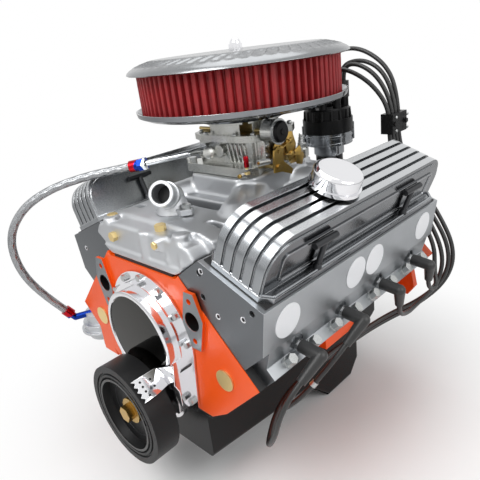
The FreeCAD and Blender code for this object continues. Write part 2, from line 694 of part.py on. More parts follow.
# ---------------------------------------------------------------- intake manifold
def seat_x(height):
    """Expression of the intake seat's X at a height, for the castings that wedge between the heads."""
    foot_x = "((deck_height + head_gasket - deck_inner) * cos(bank_angle))"
    foot_z = "((deck_height + head_gasket + deck_inner) * cos(bank_angle))"
    lean = "(bank_angle - intake_angle)"
    return "(%s + (%s - %s) / tan%s - intake_gap / sin%s)" % (foot_x, height, foot_z, lean, lean)


def build_intake():
    """Cast four-barrel intake: floor, eight runners that arch from the heads to the plenum, the
    plenum with its pad and four bores, the front water passage and the distributor's boss."""
    body = new_body("intake_manifold")
    floor = new_sketch(body, "XZ_Plane", "bell_face + 2")
    low, high = INTAKE_LOW, "(china_height + 16)"
    draw_polygon(floor, half_outline([
        ("80", low), (seat_x("china_height + 9"), "china_height + 9"), (seat_x(high), high),
    ]))
    pad(body, "floor", floor, "block_length - 4")
    for k in range(4):
        middle = "(rear_main + %.1f * bore_pitch)" % (k + 0.5)
        pair = new_sketch(body, "XZ_Plane", "%s - runner_width" % middle)
        draw_polygon(pair, half_outline([
            ("60", "china_height + 12"), (seat_x("china_height + 12"), "china_height + 12"),
            (seat_x("266"), "266"), ("130", "278"), ("104", "286"), ("60", "288"),
        ]))
        pad(body, "runner_pair", pair, "2 * runner_width")
    for k in range(4):
        middle = "(rear_main + %.1f * bore_pitch)" % (k + 0.5)
        for side in (-1, 1):
            split = new_sketch(body, "XZ_Plane", "%s - 6" % middle)
            draw_polygon(split, [
                ("%d * 80" % side, "256"), ("%d * 132" % side, "266"), ("%d * 160" % side, "320"),
                ("%d * 80" % side, "320"),
            ])
            pocket(body, "runner_gap", split, "12", reverse=True)
    plenum = new_sketch(body, "XY_Plane", "china_height + 10")
    half_x, half_y = "plenum_width / 2", "plenum_length / 2"
    draw_polygon(plenum, [
        ("-" + half_x, "carb_y + 22 - " + half_y), ("22 - " + half_x, "carb_y - " + half_y),
        (half_x + " - 22", "carb_y - " + half_y), (half_x, "carb_y + 22 - " + half_y),
        (half_x, "carb_y - 22 + " + half_y), (half_x + " - 22", "carb_y + " + half_y),
        ("22 - " + half_x, "carb_y + " + half_y), ("-" + half_x, "carb_y - 22 + " + half_y),
    ])
    pad(body, "plenum", plenum, "carb_pad - china_height - 10")
    crossover = new_sketch(body, "XZ_Plane", FRONT_DISTANCE + " - 52")
    draw_polygon(crossover, half_outline([
        ("60", "china_height + 12"), (seat_x("china_height + 12"), "china_height + 12"),
        (seat_x("258"), "258"), ("112", "crossover_top - 8"), ("60", "crossover_top"),
    ]))
    pad(body, "water_crossover", crossover, "46")
    neck = draw_circle(new_sketch(body, "XY_Plane", "china_height + 10"), "neck_x", "neck_y", "34")
    pad(body, "thermostat_boss", neck, "neck_base - china_height - 10")
    drive = draw_circle(new_sketch(body, "XY_Plane", "china_height + 4"), "dist_x", "dist_y", "31")
    pad(body, "distributor_boss", drive, "dist_seat - china_height - 4")
    barrels = new_sketch(body, "XY_Plane", "carb_pad")
    for x, y, radius in BARRELS:
        draw_circle(barrels, x, "carb_y + %s" % y, radius + " + 1")
    pocket(body, "barrel_holes", barrels, "62")
    clearance = draw_circle(new_sketch(body, "XY_Plane", "carb_pad"), "dist_x", "dist_y", "40")
    pocket(body, "distributor_clearance", clearance, "carb_pad - dist_seat")
    drilled = draw_circle(new_sketch(body, "XY_Plane", "dist_seat + 2"), "dist_x", "dist_y", "17.5")
    pocket(body, "distributor_bore", drilled, "60")
    water = draw_circle(new_sketch(body, "XY_Plane", "neck_base + 1"), "neck_x", "neck_y", "24")
    pocket(body, "thermostat_seat", water, "34")
    return keep(body)


# ---------------------------------------------------------------- carburettor and air cleaner
def round_stack(label, steps, x="0", y="0", bores=()):
    """A turned part of coaxial steps (radius, from z, to z), with bores of the same form cut out."""
    solids = [cylinder(r, "(%s) - (%s)" % (top, low), x, y, low) for r, low, top in steps]
    base = solids[0] if len(solids) == 1 else fused(label + "_steps", solids)
    if not bores:
        base.Label = label
        return base
    holes = [cylinder(r, "(%s) - (%s)" % (top, low), x, y, low) for r, low, top in bores]
    return cut(label, base, holes)


def build_carburettor():
    """Throttle body, main body with its two bowls, and air horn with its choke housing, all bored
    through for the four barrels."""
    base = new_body("carburettor_base")
    sk = draw_polygon(new_sketch(base, "XY_Plane", "carb_pad + carb_gasket"), [
        ("-72", "carb_y - 80"), ("72", "carb_y - 80"), ("80", "carb_y - 60"), ("66", "carb_y - 30"),
        ("66", "carb_y + 40"), ("80", "carb_y + 62"), ("72", "carb_y + 82"), ("-72", "carb_y + 82"),
        ("-80", "carb_y + 62"), ("-66", "carb_y + 40"), ("-66", "carb_y - 30"), ("-80", "carb_y - 60"),
    ])
    pad(base, "plate", sk, "throttle_body")
    bore_barrels(base, "carb_pad + 30", "34")
    shafts = new_sketch(base, "YZ_Plane", "-90")
    for y in ("-barrel_y", "barrel_y"):
        draw_circle(shafts, "carb_y + %s" % y, THROTTLE_Z, "shaft_r + journal_gap")
    pocket(base, "shaft_bores", shafts, "180", reverse=True)
    keep(base)

    bowl = new_body("carburettor_body")
    sk = draw_polygon(new_sketch(bowl, "XY_Plane", "carb_pad + carb_gasket + throttle_body"), [
        ("-56", "carb_y - 58"), ("56", "carb_y - 58"), ("62", "carb_y - 50"), ("62", "carb_y + 54"),
        ("54", "carb_y + 62"), ("-54", "carb_y + 62"), ("-62", "carb_y + 54"), ("-62", "carb_y - 50"),
    ])
    pad(bowl, "casting", sk, "main_body")
    for side in (-1, 1):
        wing = draw_polygon(new_sketch(bowl, "XY_Plane", "carb_pad + carb_gasket + throttle_body + 4"), [
            ("%d * 58" % side, "carb_y - 46"), ("%d * 78" % side, "carb_y - 38"),
            ("%d * 78" % side, "carb_y + 34"), ("%d * 58" % side, "carb_y + 44"),
        ])
        pad(bowl, "float_bowl", wing, "main_body - 4")
    bore_barrels(bowl, "carb_pad + 60", "60")
    keep(bowl)

    horn = new_body("carburettor_casting")
    floor = "carb_pad + carb_gasket + throttle_body + main_body"
    sk = draw_polygon(new_sketch(horn, "XY_Plane", floor), [
        ("-70", "carb_y - 54"), ("-40", "carb_y - 66"), ("40", "carb_y - 66"), ("70", "carb_y - 54"),
        ("78", "carb_y - 30"), ("78", "carb_y + 34"), ("60", "carb_y + 62"), ("-60", "carb_y + 62"),
        ("-78", "carb_y + 34"), ("-78", "carb_y - 30"),
    ])
    pad(horn, "lid", sk, "11")
    tower = draw_circle(new_sketch(horn, "XY_Plane", "carb_pad + 60"), "0", "carb_y", "horn_dia / 2 - 5")
    pad(horn, "tower", tower, "carb_height - 60")
    rim = draw_circle(new_sketch(horn, "XY_Plane", "carb_pad + carb_height - 5"), "0", "carb_y",
                      "horn_dia / 2")
    pad(horn, "rim", rim, "5")
    mouth = draw_polygon(new_sketch(horn, "XY_Plane", "carb_pad + carb_height"), [
        ("-50", "carb_y - 48"), ("50", "carb_y - 48"), ("50", "carb_y + 48"), ("-50", "carb_y + 48"),
    ])
    pocket(horn, "mouth", mouth, "carb_height - 40")
    bar = draw_polygon(new_sketch(horn, "XY_Plane", "carb_pad + carb_height - 10"), [
        ("-52", "carb_y - 7"), ("52", "carb_y - 7"), ("52", "carb_y + 7"), ("-52", "carb_y + 7"),
    ])
    pad(horn, "stud_bridge", bar, "8")
    stud_hole = draw_circle(new_sketch(horn, "XY_Plane", "carb_pad + carb_height"), "0", "carb_y", "stud_r")
    pocket(horn, "stud_hole", stud_hole, "12")
    choke_bore = draw_circle(new_sketch(horn, "YZ_Plane", "-90"), CHOKE_Y, CHOKE_Z, "3 + journal_gap")
    pocket(horn, "choke_bore", choke_bore, "180", reverse=True)
    housing = cylinder("19", "22", "78", CHOKE_Y, CHOKE_Z, AXIS_X)
    drilled = cylinder("3 + journal_gap", "14", "74", CHOKE_Y, CHOKE_Z, AXIS_X)
    keep(fused("carburettor_air_horn", [horn, cut("choke_housing", housing, [drilled])]))


def bore_barrels(body, top, depth):
    """Bores the four barrels down from a height."""
    bores = new_sketch(body, "XY_Plane", top)
    for x, y, radius in BARRELS:
        draw_circle(bores, x, "carb_y + %s" % y, radius)
    pocket(body, "barrels", bores, depth)


def shaft_with_plates(y, radius, reach):
    """A throttle shaft across the carburettor with a thin plate in each of its two barrels."""
    height = size(THROTTLE_Z)
    whole = rod_solid(size("shaft_r"), Vector(-76, y, height), Vector(reach, y, height))
    for x in (-size("barrel_x"), size("barrel_x")):
        plate = Part.makeCylinder(radius - 0.4, 1.6, Vector(x, y, height - 0.8), AXIS_Z)
        whole = whole.fuse(plate)
    return whole


def lever_solid(x, thick, points):
    """A flat lever in a plane across the shafts, from its outline of (y, z) points."""
    corners = [Vector(x, y, z) for y, z in points]
    return Part.Face(Part.makePolygon(corners + [corners[0]])).extrude(Vector(thick, 0, 0))


def build_throttles():
    """Both throttle shafts with their plates and levers, and the choke plate on its shaft."""
    carb_y, height, shaft = size("carb_y"), size(THROTTLE_Z), size("shaft_r")
    front, rear = carb_y - size("barrel_y"), carb_y + size("barrel_y")
    keep_lever = lever_solid(90, 3, [
        (front - 10, height - 8), (front + 8, height - 10), (front + 32, height - 20),
        (front + 36, height - 12), (front + 14, height + 6), (front + 11, height + 29),
        (front + 2, height + 33), (front - 7, height + 28), (front - 11, height + 6),
    ])
    keep_lever = keep_lever.cut(rod_solid(3, Vector(80, front + 2, height + 24),
                                          Vector(100, front + 2, height + 24)))
    solid_group("primary_throttle", [shaft_with_plates(front, size("primary_r"), 90)])
    pivot = rod_solid(shaft, Vector(90, front, height), Vector(96, front, height))
    solid_group("throttle_lever", [keep_lever.fuse(pivot).removeSplitter()])
    link = lever_solid(80.5, 2.4, [
        (rear - 8, height - 6), (rear + 9, height - 7), (rear + 10, height + 6), (rear - 18, height + 22),
        (rear - 23, height + 16),
    ])
    second = shaft_with_plates(rear, size("secondary_r"), 84)
    solid_group("secondary_throttle", [second.fuse(link).removeSplitter()])
    choke_y, choke_z = size(CHOKE_Y), size(CHOKE_Z)
    choke = rod_solid(3, Vector(-84, choke_y, choke_z), Vector(86, choke_y, choke_z))
    plate = Part.makeBox(98, 1.4, 25, Vector(-49, choke_y - 0.7, choke_z - 12.5))
    solid_group("choke_plate", [choke.fuse(plate).removeSplitter()])


def build_air_cleaner():
    """Base pan, pleated element, fluted lid, stud and nut, all turned about the carburettor's middle."""
    floor = "(carb_pad + carb_height)"
    base = new_body("air_cleaner_base")
    sk = draw_polygon(new_sketch(base, "XZ_Plane", "-carb_y"), [
        ("horn_dia / 2 - 16", "%s + 0.2" % floor), ("horn_dia / 2 + 14", "%s + 0.2" % floor),
        ("horn_dia / 2 + 26", "%s + 14" % floor), ("base_dia / 2 - 16", "%s + 16" % floor),
        ("base_dia / 2 - 2", "%s + 22" % floor), ("base_dia / 2", "%s + 30" % floor),
        ("base_dia / 2 - 2", "%s + 30" % floor), ("base_dia / 2 - 8", "%s + 19.5" % floor),
        ("horn_dia / 2 + 24.5", "%s + 17.5" % floor), ("horn_dia / 2 + 13", "%s + 3" % floor),
        ("horn_dia / 2 - 16", "%s + 3" % floor),
    ])
    turned(base, "pan", sk)
    keep(place(base, "0", "0", "0"))
    low = "(%s + 19.7)" % floor
    element = [("filter_dia / 2", low, "%s + filter_height" % low)]
    inner = [("filter_dia / 2 - 26", "%s - 1" % low, "%s + filter_height + 1" % low)]
    keep(round_stack("air_filter_element", element, "0", "carb_y", inner))
    top = "(%s + filter_height + 0.2)" % low
    lid = new_body("air_cleaner_lid")
    sk = draw_polygon(new_sketch(lid, "XZ_Plane", "-carb_y"), [
        ("4", "%s + 15" % top), ("lid_dia / 2 - 46", "%s + 15" % top),
        ("lid_dia / 2 - 16", "%s + 8" % top), ("lid_dia / 2", "%s - 4" % top),
        ("lid_dia / 2 - 2.5", "%s - 5" % top), ("lid_dia / 2 - 13", "%s" % top),
        ("filter_dia / 2 - 22", "%s" % top), ("lid_dia / 2 - 47", "%s + 12" % top),
        ("4", "%s + 12" % top),
    ])
    turned(lid, "dish", sk)
    keep(lid)
    seat = Vector(0, size("carb_y"), size(top) + 15)
    low = Vector(0, size("carb_y"), size("carb_pad + carb_height - 9"))
    bore = rod_solid(size("stud_r"), low, seat + AXIS_Z * 7)
    nut = hex_solid(20, 9, seat, AXIS_Z).fuse(Part.makeSphere(9.2, seat + AXIS_Z * 9.4)).cut(bore)
    solid_group("air_cleaner_stud", [bore, nut.removeSplitter()])


# ---------------------------------------------------------------- distributor
def build_distributor():
    """Housing with its banded bowl, cap with nine towers, rotor, and the shaft with its gear."""
    x, y = "dist_x", "dist_y"
    keep(round_stack("distributor_housing", [
        ("dist_body_r", "dist_cap_base - 24", "dist_cap_base"),
        ("30", "dist_cap_base - 44", "dist_cap_base - 24"),
        ("24", "dist_seat", "dist_cap_base - 44"),
        ("38", "dist_seat", "dist_seat + 5.4"),
        ("16.6", "148", "dist_seat"),
    ], x, y, [
        ("dist_body_r - 4", "dist_cap_base - 20", "dist_cap_base + 1"),
        ("dist_shaft_r + journal_gap", "140", "dist_cap_base + 1"),
    ]))
    cap = round_stack("cap_shell", [
        ("dist_cap_r", "dist_cap_base", "dist_cap_base + 26"),
        ("dist_cap_r - 5", "dist_cap_base + 26", "dist_cap_base + 44"),
    ], x, y, [("dist_cap_r - 9", "dist_cap_base - 1", "dist_cap_base + 38")])
    towers = [cap, cylinder("9.5", "dist_cap_height - 42", x, y, "dist_cap_base + 42")]
    for k in range(8):
        around = 22.5 + 45 * k
        towers.append(cylinder("tower_r", "dist_cap_height - 46",
                               "dist_x + tower_circle * cos(%.1f)" % around,
                               "dist_y + tower_circle * sin(%.1f)" % around, "dist_cap_base + 42"))
    keep(fused("distributor_cap", towers))
    keep(round_stack("distributor_shaft", [
        ("dist_shaft_r", "cam_height - 12", "dist_cap_base + 14"),
        (DRIVE_GEAR_R, "cam_height - 10", "cam_height + 10"),
    ], x, y))
    centre = Vector(size(x), size(y), size("dist_cap_base") + 14)
    arm = Part.makeBox(14, 34, 7, centre + Vector(-7, -6, 0))
    hub = Part.makeCylinder(26, 6, centre, AXIS_Z)
    solid_group("distributor_rotor", [hub.fuse(arm).removeSplitter()])


# ---------------------------------------------------------------- front: timing, damper
def build_front():
    """Timing cover with its seal housing, the timing tab, and the damper and its bolt."""
    cover = new_body("timing_cover")
    back, depth = FRONT_DISTANCE + " + 1", "cover_depth - 4"
    flange = draw_circle(new_sketch(cover, "XZ_Plane", back), "0", "cam_height", "cover_flange_r")
    pad(cover, "flange_round", flange, "cover_flange")
    skirt = draw_polygon(new_sketch(cover, "XZ_Plane", back), half_outline([
        ("84", "-6"), ("90", "2"), ("cover_flange_r - 8", "40"), ("cover_flange_r - 1", "cam_height - 10"),
    ]))
    pad(cover, "flange_skirt", skirt, "cover_flange")
    foot = draw_circle(new_sketch(cover, "XZ_Plane", back), "0", "0", "54")
    pad(cover, "flange_foot", foot, "cover_flange")
    step = draw_circle(new_sketch(cover, "XZ_Plane", back), "0", "cam_height", "cover_dome_r + 8")
    pad(cover, "dome_step", step, "cover_depth / 2")
    dome = draw_circle(new_sketch(cover, "XZ_Plane", back), "0", "cam_height", "cover_dome_r")
    pad(cover, "dome", dome, "cover_depth")
    chest = draw_polygon(new_sketch(cover, "XZ_Plane", back), half_outline([
        ("66", "-4"), ("70", "0"), ("cover_dome_r - 2", "cam_height - 20"),
    ]))
    pad(cover, "chest", chest, depth)
    foot = draw_circle(new_sketch(cover, "XZ_Plane", back), "0", "0", "46")
    pad(cover, "seal_bulge", foot, depth)
    hollow = draw_circle(new_sketch(cover, "XZ_Plane", FRONT_DISTANCE), "0", "cam_height",
                         "cover_dome_r - sheet_wall")
    pocket(cover, "dome_hollow", hollow, "cover_depth + 1 - sheet_wall", reverse=True)
    hollow = draw_polygon(new_sketch(cover, "XZ_Plane", FRONT_DISTANCE), half_outline([
        ("64", "-2"), ("68", "1"), ("cover_dome_r - 4", "cam_height - 20"),
    ]))
    pocket(cover, "chest_hollow", hollow, "cover_depth - 3 - sheet_wall", reverse=True)
    hollow = draw_circle(new_sketch(cover, "XZ_Plane", FRONT_DISTANCE), "0", "0", "46 - sheet_wall")
    pocket(cover, "bulge_hollow", hollow, "cover_depth - 3 - sheet_wall", reverse=True)
    seal = draw_circle(new_sketch(cover, "XZ_Plane", FRONT_DISTANCE + " + cover_depth - 6"), "0", "0",
                       "seal_r")
    pad(cover, "seal_housing", seal, "7")
    opening = draw_circle(new_sketch(cover, "XZ_Plane", FRONT_DISTANCE), "0", "0",
                          "damper_hub_r + journal_gap")
    pocket(cover, "seal_bore", opening, "80", reverse=True)
    keep(cover)

    face = size(FRONT_DISTANCE) + 1 + size("cover_flange")
    foot = prism([Vector(86, -face, 20), Vector(100, -face, 26), Vector(100, -face, 60),
                  Vector(86, -face, 60)], 2)
    arm = prism([Vector(93, -face, 36), Vector(97, -face, 36), Vector(97, -face, 60),
                 Vector(93, -face, 60)], 32)
    scale = prism([Vector(97, -face - 30, 36), Vector(97, -face - 30, 66), Vector(74, -face - 30, 84),
                   Vector(66, -face - 30, 70)], 2)
    solid_group("timing_tab", [foot.fuse([arm, scale]).removeSplitter()])

    damper = new_body("vibration_damper")
    sk = draw_polygon(new_sketch(damper, "XY_Plane", "0"), damper_outline())
    turned(damper, "ring", sk)
    holes = new_sketch(damper, "XZ_Plane", "damper_face - 10")
    for k in range(3):
        draw_circle(holes, "pulley_circle / 2 * sin(%d)" % (120 * k),
                    "pulley_circle / 2 * cos(%d)" % (120 * k), "4.9")
    pocket(damper, "pulley_holes", holes, "damper_width", reverse=True)
    keep(damper)
    tip, nose = size("damper_face + damper_width - 18"), size("damper_face - 8")
    washer = Part.makeCylinder(22, 5, Vector(0, -tip, 0), -AXIS_Y)
    head = hex_solid(24, 12, Vector(0, -tip - 5, 0), -AXIS_Y)
    shank = rod_solid(8, Vector(0, -nose, 0), Vector(0, -tip - 2, 0))
    solid_group("damper_bolt", [washer.fuse([shank, head]).removeSplitter()])


def damper_outline():
    """Half the damper's section, as (radius, place along the engine): ring, web and hub."""
    rear, front = "-damper_face", "-(damper_face + damper_width)"
    rim, hub = "damper_dia / 2", "-(%s + 22)" % FRONT_DISTANCE
    return [
        ("nose_dia / 2", hub), ("damper_hub_r", hub),
        ("damper_hub_r", rear + " - 8"), (rim + " - 26", rear + " - 8"), (rim + " - 22", rear),
        (rim, rear), (rim, front), (rim + " - 11", front),
        (rim + " - 12", front + " + 2.5"), (rim + " - 14", front + " + 2.5"), (rim + " - 15", front),
        (rim + " - 19", front), (rim + " - 24", front + " + 16"),
        ("pulley_circle / 2 + 12", front + " + 18"), ("nose_dia / 2", front + " + 18"),
    ]


# ---------------------------------------------------------------- oil pan and fuel pump
def build_oil_pan():
    """Pressed pan: flange, front that slopes down to a deep sump, hollow inside, and the notches that
    the rear main cap and the crankshaft's nose pass through."""
    body = new_body("oil_pan")
    rear_end = "-(bell_face + 6)"
    flange = draw_polygon(new_sketch(body, "XY_Plane", "-gasket_thick"), [
        ("-rail_half", rear_end), ("rail_half", rear_end), ("rail_half", BLOCK_FRONT),
        ("-rail_half", BLOCK_FRONT),
    ])
    pad(body, "flange", flange, "sheet_wall * 1.5", reverse=True)
    for name, inset, cutting in (("sump", "0", False), ("hollow", "sheet_wall", True)):
        side = new_sketch(body, "YZ_Plane", "-(pan_half - %s)" % inset)
        top = "-gasket_thick" if not cutting else "1 - gasket_thick"
        draw_polygon(side, [
            ("-(bell_face + 14 + %s)" % inset, top), ("-(bell_face + 14 + %s)" % inset, "%s - 62" % inset),
            ("-(bell_face + 46 + %s)" % inset, "%s - pan_rear" % inset),
            ("-(sump_rear + %s)" % inset, "%s - pan_rear - 12" % inset),
            ("-(sump_rear + %s)" % inset, "%s - pan_depth + 34" % inset),
            ("-(sump_rear + 30)", "%s - pan_depth" % inset),
            ("-(sump_rear + sump_length - 62)", "%s - pan_depth" % inset),
            ("-(sump_rear + sump_length - %s)" % inset, "%s - pan_middle" % inset),
            ("%s + %s" % (BLOCK_FRONT, inset), "%s - pan_shallow" % inset),
            ("%s + %s" % (BLOCK_FRONT, inset), top),
        ])
        width = "2 * (pan_half - %s)" % inset
        if cutting:
            pocket(body, name, side, width, reverse=True)
        else:
            pad(body, name, side, width)
            round_edges(body, "sump_corners", "10", pan_corner)
    notch = draw_polygon(new_sketch(body, "XZ_Plane", "bell_face"), [
        ("-cap_half - 0.3", "1"), ("cap_half + 0.3", "1"), ("cap_half + 0.3", "-cap_deep - 0.3"),
        ("-cap_half - 0.3", "-cap_deep - 0.3"),
    ])
    pocket(body, "rear_cap_notch", notch, "20", reverse=True)
    nose = draw_circle(new_sketch(body, "XZ_Plane", FRONT_DISTANCE + " - 6"), "0", "0", "nose_dia / 2 + 8")
    pocket(body, "nose_notch", nose, "20", reverse=True)
    keep(body)


def pan_corner(edge):
    """True for the pan's lower edges that run along its sides."""
    low = 8 - size("pan_rear")
    return edge.BoundBox.ZMax < low and edge.BoundBox.XLength < 1


def build_fuel_pump():
    """Round mechanical pump on the block's side: mounting flange, arm neck, body, dome and ports."""
    root = Vector(-size("fuel_pad_x"), size(FUEL_Y), size("fuel_pump_z"))
    flange = Part.makeBox(8, 60, 44, root + Vector(-8, -30, -22))
    neck = Part.makeCylinder(20, 40, root - AXIS_X * 6, -AXIS_X)
    centre = root - AXIS_X * 54
    bowl = Part.makeCylinder(38, 15, centre - AXIS_Z * 6, AXIS_Z)
    rim = Part.makeCylinder(43, 5, centre - AXIS_Z * 9, AXIS_Z)
    dome = Part.makeCone(38, 30, 16, centre - AXIS_Z * 9, -AXIS_Z)
    cap = Part.makeCylinder(30, 20, centre + AXIS_Z * 9, AXIS_Z)
    body = flange.fuse([neck, bowl, rim, dome, cap]).removeSplitter()
    solid_group("fuel_pump", [body])


# ---------------------------------------------------------------- rotating parts
def build_crankshaft():
    """Forged cross-plane crankshaft: nose, five mains, four crankpins, counterweighted webs, and the
    rear flange with its pilot bore and flywheel bolt holes."""
    solids = [
        cylinder("nose_dia / 2", "damper_face - 8 - (rear_main + 4 * bore_pitch)", "0",
                 "-(damper_face - 8)", "0", AXIS_Y),
        cylinder("flange_dia / 2", "12", "0", "-12", "0", AXIS_Y),
        cylinder("main_dia / 2", "rear_main", "0", "-rear_main", "0", AXIS_Y),
    ]
    for k in range(1, 6):
        solids.append(cylinder("main_dia / 2", "main_width + 2", "0",
                               "%s - main_width / 2 - 1" % main_y(k), "0", AXIS_Y))
    web = "((bore_pitch - main_width - crankpin_width) / 2)"
    for j, around in enumerate(CRANKPIN_ANGLES, start=1):
        x, z = "stroke / 2 * sin(%d)" % around, "stroke / 2 * cos(%d)" % around
        solids.append(cylinder("crankpin_dia / 2", "crankpin_width + 2", x,
                               "%s - crankpin_width / 2 - 1" % crankpin_y(j), z, AXIS_Y))
        for start in ("crankpin_y - crankpin_width / 2 - " + web, "crankpin_y + crankpin_width / 2"):
            y = start.replace("crankpin_y", crankpin_y(j))
            solids.append(cylinder("crankpin_dia / 2 + 9", web, "0.75 * " + x, y, "0.75 * " + z, AXIS_Y))
            sector = cylinder("counterweight_r", web, "0", y, "0", AXIS_Y)
            sector.Angle = 150
            turn = Rotation(AXIS_Y, around + 180 - 90 + 75)
            sector.Placement = Placement(Vector(0, 0, 0), turn.multiply(Rotation(AXIS_Z, AXIS_Y)))
            bind(sector, {"Placement.Base.y": y})
            solids.append(sector)
    holes = [cylinder("pilot_dia / 2", "pilot_depth + 5", "0", "-pilot_depth", "0", AXIS_Y)]
    for k in range(6):
        holes.append(cylinder("flange_bolt_dia / 2", "20", "flange_bolt_circle / 2 * sin(%d)" % (60 * k),
                              "-16", "flange_bolt_circle / 2 * cos(%d)" % (60 * k), AXIS_Y))
    keep(cut("crankshaft", fused("crank_forging", solids), holes))


def lobe_solid(y, width, around):
    """A cam lobe: a base circle and a nose, joined by their common tangents."""
    base_r, nose_r = size("cam_base_r"), 7.5
    reach = base_r + size("cam_lift") - nose_r
    spread = math.acos((base_r - nose_r) / reach)

    def at(radius, angle, offset):
        return Vector(radius * math.sin(angle), 0, offset + radius * math.cos(angle))
    left, right = at(base_r, -spread, 0), at(base_r, spread, 0)
    nose_left, nose_right = at(nose_r, -spread, reach), at(nose_r, spread, reach)
    wire = Part.Wire([
        Part.Arc(left, at(base_r, math.pi, 0), right).toShape(),
        Part.LineSegment(right, nose_right).toShape(),
        Part.Arc(nose_right, at(nose_r, 0, reach), nose_left).toShape(),
        Part.LineSegment(nose_left, left).toShape(),
    ])
    solid = Part.Face(wire).extrude(Vector(0, width, 0))
    solid.Placement = Placement(Vector(0, y, size("cam_height")), Rotation(AXIS_Y, around))
    return solid


def build_camshaft():
    """Camshaft: core, five journals, sixteen lobes set by the firing order, and its nose."""
    centre = Vector(0, 0, size("cam_height"))
    rear = -size("bell_face") - 12
    front = -size(FRONT_DISTANCE) - 4.6
    shapes = [Part.makeCylinder(size("cam_core_r"), rear - front, centre + Vector(0, front, 0), AXIS_Y)]
    for y, width in cam_journals():
        shapes.append(Part.makeCylinder(size("cam_journal_dia") / 2, width,
                                        centre + Vector(0, y - width / 2, 0), AXIS_Y))
    for turn, cylinder_number in enumerate(FIRING_ORDER):
        side = 1 if cylinder_number % 2 else -1
        j = (cylinder_number + 1) // 2
        y = size(cylinder_y(j, side))
        for valve, lead_angle in ((-1, 110), (1, -110)):
            outward = valve if j in (1, 3) else -valve
            start = y + outward * 23 - 7 - side * 1.5
            around = side * size("bank_angle") + turn * 45 + lead_angle
            shapes.append(lobe_solid(start, 14, around))
    solid_group("camshaft", [shapes[0].fuse(shapes[1:])])


def cam_journals():
    """The middle and width of each of the camshaft's five journals along the engine."""
    spots = [(size(main_y(k)), 20) for k in range(1, 5)]
    return spots + [(size("-(bell_face + 22)"), 18)]


def piston_rise(around):
    """How far a piston pin stands above the crankshaft for a crank angle from top dead centre."""
    throw, rod = size("stroke") / 2, size("rod_length")
    a = math.radians(around)
    return throw * math.cos(a) + math.sqrt(rod ** 2 - (throw * math.sin(a)) ** 2)


def build_pistons():
    """Eight pistons with ring grooves, pin bosses and valve reliefs, each at its place in the cycle,
    on its own pin."""
    for number in range(1, 9):
        side = 1 if number % 2 else -1
        j = (number + 1) // 2
        body = new_body("piston_%d" % number)
        section = draw_polygon(new_sketch(body, "XZ_Plane", "0"), piston_outline())
        turned(body, "blank", section)
        pin = draw_circle(new_sketch(body, "XZ_Plane", "-60"), "0", "0", "11.8")
        pocket(body, "pin_bore", pin, "120", reverse=True)
        keep(body)
        around = CRANKPIN_ANGLES[j - 1] - side * size("bank_angle")
        rise = piston_rise(around)
        spot = bank_vector(side, 0, rise) + Vector(0, size(cylinder_y(j, side)), 0)
        body.Placement = Placement(spot, Rotation(AXIS_Y, side * size("bank_angle")))
        bind(body, {"Placement.Base.y": cylinder_y(j, side)})


def piston_outline():
    """Half a piston's section about its pin: crown with three ring grooves, skirt, hollow inside."""
    outer = "(bore_dia / 2 - journal_gap)"
    points = [("0", "39.5"), (outer, "39.5")]
    for low, high in (("31", "32.6"), ("25.5", "27.1"), ("17.5", "20.5")):
        points += [(outer, high), (outer + " - 4.6", high), (outer + " - 4.6", low), (outer, low)]
    points += [(outer, "-22"), (outer + " - 4", "-22"), (outer + " - 6", "22"), ("0", "30")]
    return points


def pitch_radius(teeth):
    """The radius of a sprocket's pitch circle."""
    return CHAIN_PITCH / 2 / math.sin(math.pi / teeth)


def sprocket(teeth, y, z, bore):
    """A double-row sprocket: two toothed rims on a hub, with its teeth on the chain's pitch circle."""
    pitch_r = pitch_radius(teeth)
    outline = []
    for k in range(teeth):
        step = 2 * math.pi / teeth
        for shift, radius in ((-0.30, pitch_r - 3.2), (-0.12, pitch_r + 3.0), (0.12, pitch_r + 3.0),
                              (0.30, pitch_r - 3.2)):
            angle = (k + 0.5 + shift) * step
            outline.append(Vector(radius * math.sin(angle), 0, radius * math.cos(angle)))
    rim = Part.Face(Part.makePolygon(outline + [outline[0]]))
    rows = [rim.extrude(Vector(0, TOOTH_WIDTH, 0)), rim.extrude(Vector(0, TOOTH_WIDTH, 0))]
    rows[1].translate(Vector(0, -ROW_PITCH, 0))
    hub = Part.makeCylinder(pitch_r - 4.4, ROW_PITCH + TOOTH_WIDTH, Vector(0, -ROW_PITCH, 0), AXIS_Y)
    whole = hub.fuse(rows).cut(Part.makeCylinder(bore, 60, Vector(0, -30, 0), AXIS_Y)).removeSplitter()
    whole.Placement = Placement(Vector(0, y, z), Rotation())
    return whole


def build_timing_set():
    """Crankshaft and camshaft sprockets and the double roller chain round them, at half speed."""
    y = -size(FRONT_DISTANCE) - 9
    height = size("cam_height")
    room = size("cover_dome_r") - size("sheet_wall") - CHAIN_HALF_HEIGHT - CHAIN_CLEARANCE
    teeth = int(math.pi * room / CHAIN_PITCH)
    small = sprocket(teeth, y, 0, size("nose_dia") / 2)
    large = sprocket(2 * teeth, y, height, 8)
    solid_group("crank_sprocket", [small])
    solid_group("cam_sprocket", [large])
    small_r, large_r = pitch_radius(teeth), pitch_radius(2 * teeth)
    solids = []
    for start in (TOOTH_WIDTH + 0.5, TOOTH_WIDTH - ROW_PITCH + PLATE_GAP,
                  -ROW_PITCH - PLATE_GAP - PLATE_THICKNESS):
        outer = loop_face(small_r + CHAIN_HALF_HEIGHT, large_r + CHAIN_HALF_HEIGHT, height)
        inner = loop_face(small_r - CHAIN_HALF_HEIGHT + 0.3, large_r - CHAIN_HALF_HEIGHT + 0.3, height)
        band = outer.cut(inner).extrude(Vector(0, PLATE_THICKNESS, 0))
        band.translate(Vector(0, y + start, 0))
        solids.append(band)
    solid_group("timing_chain", solids)


